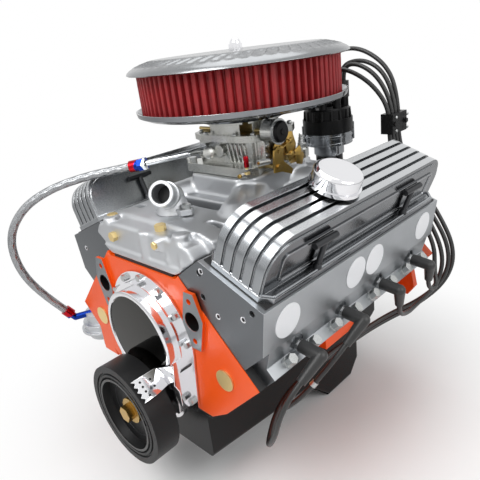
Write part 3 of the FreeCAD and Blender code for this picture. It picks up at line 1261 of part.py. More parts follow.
def loop_face(small_r, large_r, height):
    """The area inside a belt round two circles, one about the crankshaft and one about the camshaft."""
    slope = math.asin((large_r - small_r) / height)

    def at(radius, angle, z):
        return Vector(radius * math.cos(angle), 0, z + radius * math.sin(angle))
    edges = [
        Part.Arc(at(large_r, -slope, height), at(large_r, math.pi / 2, height),
                 at(large_r, math.pi + slope, height)).toShape(),
        Part.LineSegment(at(large_r, math.pi + slope, height), at(small_r, math.pi + slope, 0)).toShape(),
        Part.Arc(at(small_r, math.pi + slope, 0), at(small_r, -math.pi / 2, 0),
                 at(small_r, -slope, 0)).toShape(),
        Part.LineSegment(at(small_r, -slope, 0), at(large_r, -slope, height)).toShape(),
    ]
    return Part.Face(Part.Wire(edges))


# ---------------------------------------------------------------- small parts in groups
def build_head_fittings():
    """Outer head bolts, exhaust port covers and spark plugs of both heads."""
    bolts, covers, plugs = [], [], []
    pitch = size("head_bolt_pitch")
    for side in (1, -1):
        head = HEADS[side].Placement
        up = head.Rotation.multVec(AXIS_Z)
        for k in range(8):
            at = head.multVec(Vector(size("deck_outer") - 9, (k - 3.5) * pitch, size("bolt_ledge")))
            collar = Part.makeCylinder(8, 5, at, up)
            bolts.append(collar.fuse(hex_solid(13.5, 13, at + up * 5, up)).removeSplitter())
        start = Vector(size(RAIL_END_X), 0, size(HEAD_TOP))
        foot = Vector(size("exhaust_foot_x"), 0, size("exhaust_foot_z"))
        down = (foot - start).normalize()
        outward = Vector(-down.z, 0, down.x)
        for spot in PORT_SPOTS:
            centre = (start + foot) / 2 + Vector(0, spot * pitch, 0)
            disc = Part.makeCylinder(size("port_cover_dia") / 2, 1, centre, outward)
            disc.Placement = head.multiply(disc.Placement)
            covers.append(disc)
        for spot in PLUG_SPOTS:
            plugs.append(spark_plug(head, spot * pitch))
    solid_group("head_bolts", bolts)
    solid_group("exhaust_port_covers", covers)
    solid_group("spark_plugs", plugs)


def plug_line(head, y):
    """Where a spark plug's seat is on its head, and the way the plug points."""
    tilt = math.radians(size("plug_tilt"))
    seat = Vector(size("plug_seat_x"), y, size("plug_seat_z"))
    return head.multVec(seat), head.Rotation.multVec(Vector(math.cos(tilt), 0, math.sin(tilt)))


def spark_plug(head, y):
    """A spark plug: shell, hexagon, white insulator and terminal, all along its own line."""
    seat, out = plug_line(head, y)
    shell = hex_solid(16, 9, seat, out)
    nose = Part.makeCone(6.2, 4.6, 22, seat + out * 9, out)
    tip = Part.makeCylinder(3.2, 7, seat + out * 31, out)
    return shell.fuse([nose, tip]).removeSplitter()


def build_cover_fittings():
    """Seals and T-handled bolts of both valve covers, breather cap and its grommet."""
    seals, bolts = [], []
    long, wide, thick = size("cover_length") / 2, size("cover_width") / 2, size("gasket_thick")
    for side in (1, -1):
        plate = Part.makeBox(2 * wide, 2 * long, thick, Vector(-wide, -long, 0))
        window = Part.makeBox(2 * wide - 26, 2 * long - 26, thick + 2, Vector(13 - wide, 13 - long, -1))
        plate = plate.cut(window)
        plate.Placement = COVERS[side].Placement
        plate.Placement.Base = on_rail(side, 0, 0, 0)
        seals.append(plate)
        for end in (-1, 1):
            for edge in (-1, 1):
                bolts.append(t_bolt(side, edge * (wide - 7), end * size("t_bolt_y")))
    solid_group("valve_cover_bolts", bolts)
    place_on = COVERS[1].Placement
    up = place_on.Rotation.multVec(AXIS_Z)
    at = place_on.multVec(Vector(0, -size("breather_y"), size("cover_height") - 12))
    hole_r = size("breather_hole_r")
    seals.append(ring_solid(hole_r, 15.2, 21, at, up).fuse(
        ring_solid(hole_r + 4, 15.2, 4, at + up * 21, up)).removeSplitter())
    solid_group("valve_cover_seals", seals)
    spigot = Part.makeCylinder(15, 24, at + up * 3, up)
    pan = Part.makeCylinder(35, 25, at + up * 26, up)
    pan = pan.makeFillet(6, [e for e in pan.Edges if e.Curve.TypeId == "Part::GeomCircle"
                             and (e.CenterOfMass - at).dot(up) > 45])
    rim = Part.makeCylinder(37.5, 5, at + up * 25.2, up)
    solid_group("breather_cap", [pan.fuse([rim, spigot]).removeSplitter()])


def t_bolt(side, x, y):
    """A valve cover bolt: a round shank with a bar across its top, standing on the cover's flange."""
    turn = COVERS[side].Placement.Rotation
    up, along_bar = turn.multVec(AXIS_Z), turn.multVec(AXIS_Y)
    foot = on_rail(side, x, y, size("gasket_thick") + 8)
    collar = Part.makeCone(6.6, 5, 8, foot, up)
    shank = Part.makeCylinder(4, 44, foot, up)
    bar = Part.makeCylinder(4.6, 48, foot + up * 46 - along_bar * 24, along_bar)
    return shank.fuse([collar, bar]).removeSplitter()


def build_block_fittings():
    """Brass plugs, main caps with their bolts, and the bearings of the crankshaft and camshaft."""
    plugs = []
    for side in (1, -1):
        for k in range(3):
            y = size(main_y(3)) + (k - 1) * size("bore_pitch") * 1.2
            at = bank_vector(side, size("deck_outer"), 172) + Vector(0, y, 0)
            out = bank_vector(side, 1, 0)
            plugs.append(Part.makeCylinder(size("core_plug_dia") / 2, 2.4, at, out))
        front = Vector(side * 162, -size(FRONT_DISTANCE), 88)
        plugs.append(Part.makeCylinder(size("core_plug_dia") / 2 - 4, 2.4, front, -AXIS_Y))
    for x, inward, top in ((-100, 28, "crossover_top - 5"), (34, 26, "crossover_top")):
        at = Vector(x, inward - size(FRONT_DISTANCE), size(top))
        plugs.append(hex_solid(15, 9, at, AXIS_Z))
    plugs.append(hex_solid(14, 8, Vector(-66, -size(FRONT_DISTANCE) + 6, 262), -AXIS_Y))
    plugs.append(Part.makeCylinder(size("cam_journal_dia / 2 + shell"), 2,
                                   Vector(0, -size("bell_face") - 2, size("cam_height")), AXIS_Y))
    solid_group("brass_plugs", plugs)
    caps, bearings = [], []
    radius, wall = size("main_dia") / 2, size("shell")
    half, deep = size("cap_half"), size("cap_deep")
    for k in range(1, 6):
        y, width = size(main_y(k)), size("main_width") - 2
        rear = y + width / 2 if k < 5 else -size("bell_face") - 6
        front = y - width / 2
        block = Part.makeBox(2 * half, rear - front, deep, Vector(-half, front, -deep))
        block = block.cut(rod_solid(radius + wall, Vector(0, front - 1, 0), Vector(0, rear + 1, 0)))
        caps.append(block)
        for x in (-49, 49):
            caps.append(hex_solid(17, 9, Vector(x, y, -deep), -AXIS_Z))
        bearings.append(ring_solid(radius + wall, radius + GAP, width, Vector(0, front, 0), AXIS_Y))
    solid_group("main_bearing_caps", caps)
    journal = size("cam_journal_dia") / 2
    for y, width in cam_journals():
        bearings.append(ring_solid(journal + wall, journal + GAP, width,
                                   Vector(0, y - width / 2, size("cam_height")), AXIS_Y))
    solid_group("plain_bearings", bearings)


def build_flat_gaskets():
    """Head gaskets, intake gaskets and end seals, the oil pan's gasket and the carburettor's."""
    gaskets = []
    half, inner = size("head_length") / 2, size("deck_inner")
    lean = math.radians(size("intake_angle"))
    for side in (1, -1):
        head = HEADS[side].Placement
        plate = Part.makeBox(size("deck_outer") + inner, 2 * half, size("head_gasket"),
                             Vector(-inner, -half, -size("head_gasket")))
        for j in range(4):
            y = (j - 1.5) * size("bore_pitch")
            plate = plate.cut(Part.makeCylinder(size("bore_dia") / 2 + 1.2, 4, Vector(0, y, -2), AXIS_Z))
        plate.Placement = head
        gaskets.append(plate)
        low, high = Vector(-inner, half - 6, 1), Vector(-inner, half - 6, 56)
        for point in (low, high):
            point.x += point.z * math.tan(lean)
        away = Vector(-math.cos(lean), 0, math.sin(lean))
        seat = prism([low + away * 0.1, high + away * 0.1, high + away * 1.3, low + away * 1.3],
                     2 * half - 12)
        seat.Placement = head
        gaskets.append(seat)
    low, thick = size("china_height"), size("end_seal")
    for y in (-size("bell_face") - size("rear_wall"), -size(FRONT_DISTANCE) + 2):
        gaskets.append(Part.makeBox(150, size("rear_wall") - 3, thick, Vector(-75, y + 1, low)))
    rail, pan, deep = size("rail_half"), size("pan_half"), size("gasket_thick")
    length = size("block_length") - 6
    sheet = Part.makeBox(2 * rail, length, deep, Vector(-rail, -size(FRONT_DISTANCE), -deep))
    hole = Part.makeBox(2 * pan - 4, length - 4, deep + 2,
                        Vector(2 - pan, -size(FRONT_DISTANCE) + 2, -deep - 1))
    notches = [Part.makeBox(2 * size("cap_half") + 0.6, 30, deep + 2,
                            Vector(-size("cap_half") - 0.3, -size("bell_face") - 20, -deep - 1)),
               Part.makeCylinder(size("nose_dia") / 2 + 8, 40, Vector(0, -size(FRONT_DISTANCE) - 10, 0),
                                 AXIS_Y)]
    gaskets.extend(sheet.cut([hole] + notches).Solids)
    carb_y, pad_z = size("carb_y"), size("carb_pad")
    plate = Part.makeBox(132, 148, size("carb_gasket"), Vector(-66, carb_y - 72, pad_z))
    for x, y, r in BARRELS:
        plate = plate.cut(Part.makeCylinder(size(r) + 1.5, 4, Vector(size(x), carb_y + size(y), pad_z - 1),
                                            AXIS_Z))
    gaskets.append(plate)
    solid_group("flat_gaskets", gaskets)


def build_small_bolts():
    """The small bolts and nuts of the timing cover, thermostat, fuel pump, carburettor and oil pan."""
    face = size(FRONT_DISTANCE) + 1 + size("cover_flange")
    reach, height = size("cover_flange_r") - 7.5, size("cam_height")
    bolts = []
    for around in (-84, -56, -28, 0, 28, 56, 84):
        a = math.radians(around)
        bolts.append(hex_solid(10, 6, Vector(reach * math.sin(a), -face, height + reach * math.cos(a)),
                               -AXIS_Y))
    for x, z in ((-85, 64), (-82, 14), (79, 14)):
        bolts.append(hex_solid(10, 6, Vector(x, -face, z), -AXIS_Y))
    neck = Vector(size("neck_x"), size("neck_y"), size("neck_base") + 9)
    for x in (-33, 33):
        bolts.append(hex_solid(13, 7, neck + Vector(x, 0, 0), AXIS_Z))
    pump = Vector(-size("fuel_pad_x") - 8, size(FUEL_Y), size("fuel_pump_z"))
    for y in (-24, 24):
        bolts.append(hex_solid(9, 6, pump + Vector(0, y, 12), -AXIS_X))
    nut_z = size("carb_pad + carb_gasket + throttle_body")
    for x in (-67, 67):
        for y in (-70, 72):
            bolts.append(hex_solid(12.7, 8, Vector(x, size("carb_y") + y, nut_z), AXIS_Z))
    drain = Vector(60, -size("sump_rear"), 44 - size("pan_depth"))
    bolts.append(hex_solid(17, 7, drain, AXIS_Y))
    solid_group("small_bolts", bolts)


def build_thermostat_housing():
    """The water outlet on the intake: an eared flange, a domed body and a neck with a hose stop."""
    start = Vector(size("neck_x"), size("neck_y"), size("neck_base"))
    flange = prism([Vector(-44, 0, 0), Vector(-34, 0, -12), Vector(34, 0, -12), Vector(44, 0, 0),
                    Vector(34, 0, 12), Vector(-34, 0, 12)], 9)
    flange.Placement = Placement(start, Rotation(AXIS_X, -90))
    radius, towards = size("neck_dia") / 2, neck_direction()
    knee = start + AXIS_Z * 24
    dome = Part.makeCone(27, radius + 1, 24, start, AXIS_Z)
    elbow = Part.makeSphere(radius + 1, knee)
    neck = Part.makeCylinder(radius, 40, knee, towards)
    stop = Part.makeCylinder(radius + 2.5, 3, knee + towards * 17, towards)
    hollow = Part.makeCylinder(radius - 4, 50, knee, towards)
    well = Part.makeCylinder(radius - 4, 25, start - AXIS_Z, AXIS_Z)
    body = flange.fuse([dome, elbow, neck, stop]).cut(hollow.fuse(well)).removeSplitter()
    solid_group("thermostat_housing", [body])


def neck_direction():
    """The way the water outlet points: forwards, up and towards the first bank."""
    return Vector(0.45, -0.80, 0.40).normalize()


# ---------------------------------------------------------------- leads and hose
def cord_solid(radius, points):
    """A round cord through points: straight runs joined by tangent arcs of 0.45 of the shorter run."""
    spots = [Vector(p) for p in points]
    edges, start, tightest = [], spots[0], 1e9
    for before, corner, after in zip(spots, spots[1:], spots[2:]):
        back, on = before - corner, after - corner
        half_turn = (math.pi - back.getAngle(on)) / 2
        reach = 0.45 * min(back.Length, on.Length)
        arc_r = reach / math.tan(half_turn)
        first, last = corner + back.normalize() * reach, corner + on.normalize() * reach
        middle = (first + last) / 2
        inward = (middle - corner).normalize()
        crown = corner + inward * (math.hypot(arc_r, reach) - arc_r)
        edges.append(Part.LineSegment(start, first).toShape())
        edges.append(Part.Arc(first, crown, last).toShape())
        start, tightest = last, min(tightest, arc_r)
    edges.append(Part.LineSegment(start, spots[-1]).toShape())
    path = Part.Wire(edges)
    ring = Part.Wire(Part.Circle(spots[0], spots[1] - spots[0], radius).toShape())
    solid = path.makePipeShell([ring], True, False)
    expected = math.pi * radius ** 2 * path.Length
    print("cord %.0f mm long, tightest arc %.0f mm, volume %.3f of its section's"
          % (path.Length, tightest, solid.Volume / expected))
    return solid


def boot_elbow(number):
    """Where the bend of a cylinder's plug boot is, from its plug's seat."""
    spot = PLUG_SPOTS[(number - 1) // 2] * size("head_bolt_pitch")
    seat, out = plug_line(HEADS[1].Placement, spot)
    return seat, out, seat + out * size("boot_reach")


def tower_top(k):
    """The top of the distributor cap's tower k, counted round from +X."""
    around = math.radians(22.5 + 45 * k)
    return Vector(size("dist_x") + size("tower_circle") * math.cos(around),
                  size("dist_y") + size("tower_circle") * math.sin(around),
                  size("dist_cap_base") + size("dist_cap_height") - 4)


def build_leads():
    """The first bank's four ignition leads with their plug boots and cap boots, and their loom."""
    radius = size("lead_dia") / 2
    boots = []
    for number, leg, first_run, tower, last_run, points in LEADS:
        seat, out, elbow = boot_elbow(number)
        leg = Vector(*leg)
        foot, end = elbow + leg, tower_top(tower) + AXIS_Z * 24
        route = [foot, foot + leg.normalize() * first_run] + [Vector(*p) for p in points]
        solid_group("lead_%d" % number, [cord_solid(radius, route + [end + AXIS_Z * last_run, end])])
        sleeve = Part.makeCylinder(9.5, size("boot_reach") - 12, seat + out * 12, out)
        leg_solid = Part.makeCone(9.5, 7, (foot - elbow).Length, elbow, foot - elbow)
        bore = Part.makeCylinder(6.8, 28, seat + out * 11, out)
        bend = Part.makeSphere(9.5, elbow)
        boots.append(sleeve.fuse([bend, leg_solid]).cut(bore).removeSplitter())
        cap_boot = Part.makeCylinder(9.2, 30, end - AXIS_Z * 30, AXIS_Z)
        boots.append(cap_boot.cut(Part.makeCylinder(size("tower_r"), 40, end - AXIS_Z * 58, AXIS_Z)))
    solid_group("plug_boots", boots)
    x, low = size("loom_x"), size("loom_z")
    block = Part.makeBox(24, 52, 36, Vector(x - 12, -49.5, low))
    for row in range(4):
        y = -40 + 11 * row
        block = block.cut(Part.makeCylinder(radius + 1.1, 40, Vector(x, y, low - 2), AXIS_Z))
    heads = [hex_solid(8, 4, Vector(x + 12, -23.5 + side * 20, low + 18), AXIS_X) for side in (-1, 1)]
    solid_group("lead_loom", [block] + heads)


def build_fuel_line():
    """Braided hose from the fuel pump to the carburettor, with its fittings and the last tube."""
    start, end = Vector(*HOSE[0]), Vector(*HOSE[-1])
    solid_group("fuel_hose", [cord_solid(size("hose_dia") / 2, [Vector(*p) for p in HOSE])])
    first = (start - Vector(*HOSE[1])).normalize()
    last = (end - Vector(*HOSE[-2])).normalize()
    collar_a = Part.makeCylinder(10, 16, start, first)
    knee = start + first * 26
    port = Vector(-size("fuel_pad_x") - 60, size(FUEL_Y) - 14, size("fuel_pump_z") + 26)
    cap = Part.makeCylinder(30, 20, Vector(-size("fuel_pad_x") - 54, size(FUEL_Y), size("fuel_pump_z") + 9),
                            AXIS_Z)
    elbow = Part.makeCylinder(6.5, 10, start + first * 16, first).fuse([
        Part.makeSphere(6.5, knee), rod_solid(6.5, knee, port), collar_a]).cut(cap)
    collar_b = Part.makeCylinder(10, 16, end, last)
    nut = hex_solid(19, 14, end + last * 16, last)
    tube_start = end + last * 30
    inlet = Vector(-34, size("carb_y") - 58, size("carb_pad") + 40)
    knee_b = inlet - AXIS_Y * 46
    tube = rod_solid(4.8, tube_start, knee_b).fuse([
        Part.makeSphere(4.8, knee_b), rod_solid(4.8, knee_b, inlet - AXIS_Y * 12),
        hex_solid(19, 12, inlet, -AXIS_Y), collar_b, nut])
    solid_group("fuel_fittings", [elbow.removeSplitter(), tube.removeSplitter()])


# Each lead of the first bank: its cylinder, its boot's leg, its first run, its tower on the cap, its
# last run, and the points between.
LEADS = (
    (1, (-11, -32, -28), 40, 2, 34, [
        (232, -508, 10), (190, -484, -46), (150, -410, -38), (147, -320, -24), (156, -225, -28),
        (178, -140, -14), (222, -62, 6), (256, -7, 44), (270, -7, 112), (232, -7, 186), (172, -7, 262),
        (152, -7, 322), (152.3, -7, 388), (136, -9, 448), (84, -13, 486), (36, -17, 488)]),
    (3, (-11, -32, -28), 36, 1, 26, [
        (222, -434, 26), (180, -440, -16), (163, -372, -18), (161, -290, -8), (166, -205, -12),
        (190, -128, 4), (232, -62, 22), (260, -18, 60), (262, -18, 124), (222, -18, 190),
        (168, -18, 264), (152, -18, 324), (152.3, -18, 388), (130, -18, 444), (86, -19, 468)]),
    (5, (-8, 14, -34), 30, 0, 26, [
        (250, -160, 44), (243, -104, 36), (254, -44, 52), (258, -29, 110), (222, -29, 182),
        (168, -29, 262), (152, -29, 322), (152.3, -29, 384), (128, -34, 436), (88, -37, 462)]),
    (7, (-8, 14, -34), 28, 7, 24, [
        (264, -72, 58), (250, -52, 86), (243, -40, 132), (208, -40, 190), (166, -40, 258),
        (152, -40, 320), (152.3, -40, 380), (126, -50, 424), (88, -62, 452)]),
)
# The fuel hose's points, from the pump's fitting to the carburettor's.
HOSE = [(-268, -545, 78), (-283, -578, 128), (-290, -600, 188), (-284, -600, 250), (-262, -572, 298),
        (-225, -528, 326), (-178, -480, 340), (-138, -448, 346), (-112, -432, 350)]


# ---------------------------------------------------------------- build, check and export
def main():
    """Builds every sub-part, checks it and writes its STEP file."""
    build_block()
    HEADS[1] = build_head("cylinder_head_left", 1)
    HEADS[-1] = build_head("cylinder_head_right", -1)
    doc.recompute()
    COVERS[1] = build_valve_cover("valve_cover_left", 1, True)
    COVERS[-1] = build_valve_cover("valve_cover_right", -1, False)
    build_intake()
    build_carburettor()
    build_air_cleaner()
    build_distributor()
    build_front()
    build_oil_pan()
    build_crankshaft()
    build_pistons()
    doc.recompute()
    build_throttles()
    build_fuel_pump()
    build_camshaft()
    build_timing_set()
    build_head_fittings()
    build_cover_fittings()
    build_block_fittings()
    build_flat_gaskets()
    build_small_bolts()
    build_thermostat_housing()
    build_leads()
    build_fuel_line()
    doc.recompute()
    for obj in doc.Objects:
        if "Invalid" in obj.State or "Error" in obj.State:
            raise RuntimeError("%s failed: %s" % (obj.Name, obj.State))
    os.makedirs("parts", exist_ok=True)
    for part in SUBPARTS:
        if part.Shape.isNull() or not part.Shape.isValid():
            raise RuntimeError("%s has no valid shape" % part.Label)
        part.Shape.exportStep("parts/%s.step" % part.Label)
    print("sub-parts written:", len(SUBPARTS))


main()
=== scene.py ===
"""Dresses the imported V-type engine: finishes on every solid, cords, and the fine pieces on it."""
from __future__ import annotations

import logging
import math
from dataclasses import dataclass, field
from enum import Enum

import bmesh
import bpy
from bmesh.types import BMesh, BMFace, BMVert
from mathutils import Matrix, Vector

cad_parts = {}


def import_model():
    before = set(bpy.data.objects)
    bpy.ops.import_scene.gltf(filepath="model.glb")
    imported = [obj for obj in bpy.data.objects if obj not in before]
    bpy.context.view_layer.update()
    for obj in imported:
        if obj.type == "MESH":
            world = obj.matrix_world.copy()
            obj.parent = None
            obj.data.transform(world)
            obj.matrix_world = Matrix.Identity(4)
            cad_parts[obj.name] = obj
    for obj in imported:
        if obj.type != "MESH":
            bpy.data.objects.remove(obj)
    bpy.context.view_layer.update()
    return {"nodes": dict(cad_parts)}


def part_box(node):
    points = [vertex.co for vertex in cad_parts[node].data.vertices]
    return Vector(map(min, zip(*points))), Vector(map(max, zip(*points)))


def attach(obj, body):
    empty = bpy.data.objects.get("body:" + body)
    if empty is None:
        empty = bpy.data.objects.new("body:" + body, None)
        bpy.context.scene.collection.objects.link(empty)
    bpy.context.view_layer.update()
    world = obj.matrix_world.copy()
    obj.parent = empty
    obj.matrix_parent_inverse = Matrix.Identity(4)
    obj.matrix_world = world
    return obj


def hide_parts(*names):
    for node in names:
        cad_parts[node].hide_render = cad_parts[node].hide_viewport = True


LOG = logging.getLogger("engine_scene")
# One millimetre in metres: sizes are written in millimetres unless their name says otherwise.
MM = 0.001
UP, FRONT, RIGHT = Vector((0, 0, 1)), Vector((0, -1, 0)), Vector((1, 0, 0))
TURN = 2 * math.pi
# An edge that turns more than this stays sharp, and corners this near in metres are one.
SHARP, WELD = math.radians(35), 1e-6
# The valve covers' outward lean, and the height of their fins' ground crests in millimetres.
LEAN_COS, LEAN_SIN, CREST_MM = 0.9252, 0.3794, 379.5
# How the finishes read a surface: the grain that counts, a worn edge's bend, and a face's aim.
GRAIN_RANGE = (0.25, 0.75)
EDGE_RANGE = (0.98, 0.8)
FACING = 0.9
COAT_ROUGHNESS = 0.08
# The world's strength on rough surfaces, and where it is seen or mirrored.
WORLD_LIGHT, WORLD_SEEN = 0.42, 1.0
# The braided hose's real length, which also sets how many wires cross along it.
HOSE_LENGTH_MM = 459.0

Point = tuple[float, float, float]
Profile = list[tuple[float, float]]
Socket = bpy.types.NodeSocket


class Body(str, Enum):
    """The moving bodies that a piece may ride on."""

    ENGINE = "engine"
    CRANK = "crank"


class Pattern(str, Enum):
    """How a surface's grain runs."""

    GRAIN = "plain grain"
    BRAID = "braided wires"
    GAUZE = "woven gauze"


# ---------------------------------------------------------------- small helpers
def srgb(code: str) -> tuple[float, float, float, float]:
    """Turns an sRGB hex colour into linear red, green, blue and alpha.

    Args:
        code: six hex digits.

    Returns:
        The linear colour.
    """
    parts = [int(code[k:k + 2], 16) / 255 for k in (0, 2, 4)]
    linear = [c / 12.92 if c <= 0.04045 else ((c + 0.055) / 1.055) ** 2.4 for c in parts]
    return (linear[0], linear[1], linear[2], 1.0)


def vec(point: Point) -> Vector:
    """Millimetres to a vector in metres."""
    return Vector(point) * MM


def aim(azimuth: float, elevation: float) -> Vector:
    """The direction of an azimuth and an elevation in degrees, 0 being the engine's front."""
    a, e = math.radians(azimuth), math.radians(elevation)
    return Vector((math.sin(a) * math.cos(e), -math.cos(a) * math.cos(e), math.sin(e)))


def pose(at: Vector, towards: Vector, turn: float = 0.0) -> Matrix:
    """The matrix that takes +Z to a direction and the origin to a point.

    Args:
        at: the new origin, in metres.
        towards: the direction +Z takes.
        turn: degrees turned about that direction.

    Returns:
        The matrix.
    """
    swing = Vector(towards).to_track_quat("Z", "X").to_matrix().to_4x4()
    return Matrix.Translation(at) @ swing @ Matrix.Rotation(math.radians(turn), 4, "Z")


def axis_of(node: str) -> Vector:
    """Where a solid's upright axis crosses height zero, in metres."""
    low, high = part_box(node)
    return Vector(((low[0] + high[0]) / 2, (low[1] + high[1]) / 2, 0))


def stand(name: str, data: bpy.types.ID) -> bpy.types.Object:
    """Makes an object from its data and links it to the scene."""
    made = bpy.data.objects.new(name, data)
    bpy.context.scene.collection.objects.link(made)
    return made


def mesh_from(name: str, bm: BMesh) -> bpy.types.Mesh:
    """Turns a bmesh into a mesh and frees it."""
    mesh = bpy.data.meshes.new(name)
    bm.to_mesh(mesh)
    bm.free()
    return mesh


def faces_of(verts: list[BMVert]) -> list[BMFace]:
    """The faces that meet at some vertices."""
    return list({f for v in verts for f in v.link_faces})


def grow(bm: BMesh, faces: list[BMFace], way: Vector) -> tuple[list[BMFace], list[BMVert]]:
    """Extrudes faces into a closed solid.

    Args:
        bm: the mesh.
        faces: the flat faces, which stay as the solid's base.
        way: how far and which way the copy moves, in metres.

    Returns:
        The copy's faces and its vertices.
    """
    grown = bmesh.ops.extrude_face_region(bm, geom=faces, use_keep_orig=True)["geom"]
    moved = [g for g in grown if isinstance(g, BMVert)]
    bmesh.ops.translate(bm, vec=way, verts=moved)
    return [g for g in grown if isinstance(g, BMFace)], moved


def band(inner: float, outer: float, low: float, high: float) -> Profile:
    """A square section between two radii and two heights; a disc's when the inner one is 0."""
    return [(inner, low), (outer, low), (outer, high), (inner, high)]


@dataclass
class Graph:
    """Adds nodes to a material's or the world's tree, which is emptied first when it is fresh."""

    tree: bpy.types.NodeTree
    fresh: bool = True

    def __post_init__(self) -> None:
        """Empties a fresh tree of the nodes it came with."""
        if self.fresh:
            self.tree.nodes.clear()

    def add(self, kind: str, inputs: dict | None = None, **settings: object) -> bpy.types.Node:
        """Adds a node.

        Args:
            kind: the node's type, without its first words.
            inputs: input name or number to a socket to link from, or to a plain value.
            settings: the node's own properties.

        Returns:
            The new node.
        """
        node = self.tree.nodes.new("ShaderNode" + kind)
        for key, value in settings.items():
            setattr(node, key, value)
        for key, value in (inputs or {}).items():
            if isinstance(value, Socket):
                self.tree.links.new(value, node.inputs[key])
            else:
                node.inputs[key].default_value = value
        return node

    def math(self, operation: str, *values: object, **settings: object) -> Socket:
        """Works out one sum on sockets or numbers."""
        inputs = dict(enumerate(values))
        return self.add("Math", inputs, operation=operation, **settings).outputs[0]

    def dot(self, first: Socket, second: object) -> Socket:
        """The dot product of two vectors."""
        node = self.add("VectorMath", {0: first, 1: second}, operation="DOT_PRODUCT")
        return node.outputs["Value"]

    def mix(self, amount: object, first: object, second: object) -> Socket:
        """Mixes two colours."""
        return self.add("Mix", {0: amount, 6: first, 7: second}, data_type="RGBA").outputs[2]

    def blend(self, amount: object, first: object, second: object) -> Socket:
        """Mixes two numbers."""
        return self.add("Mix", {0: amount, 2: first, 3: second}).outputs[0]

    def spread(self, value: Socket, given: tuple[float, float],
               wanted: tuple[float, float] = (0.0, 1.0), **settings: object) -> Socket:
        """Takes a value's range to another.

        Args:
            value: the value to change.
            given: its range.
            wanted: the range it is taken to.
            settings: the node's own properties.

        Returns:
            The new value.
        """
        return self.add("MapRange", {
            "Value": value, "From Min": given[0], "From Max": given[1],
            "To Min": wanted[0], "To Max": wanted[1]}, **settings).outputs[0]


# ---------------------------------------------------------------- finishes
@dataclass(frozen=True)
class Zone:
    """A part of a surface that is bare metal, or metal painted as shade: past a plane, facing a
    way, or both.
    """

    colour: str
    roughness: float
    direction: Point | None = None
    start_mm: float = 0.0
    end_mm: float = 9000.0
    facing: Point | None = None

    def mask(self, graph: Graph, place: bpy.types.Node) -> Socket:
        """1 inside the zone and 0 outside it."""
        masks = []
        if self.direction:
            along = graph.dot(place.outputs["Object"], Vector(self.direction).normalized())
            masks.append(graph.math("GREATER_THAN", along, self.start_mm * MM))
            masks.append(graph.math("LESS_THAN", along, self.end_mm * MM))
        if self.facing:
            turned = graph.dot(place.outputs["Normal"], Vector(self.facing).normalized())
            masks.append(graph.math("GREATER_THAN", turned, FACING))
        whole = masks[0]
        for mask in masks[1:]:
            whole = graph.math("MULTIPLY", whole, mask)
        return whole


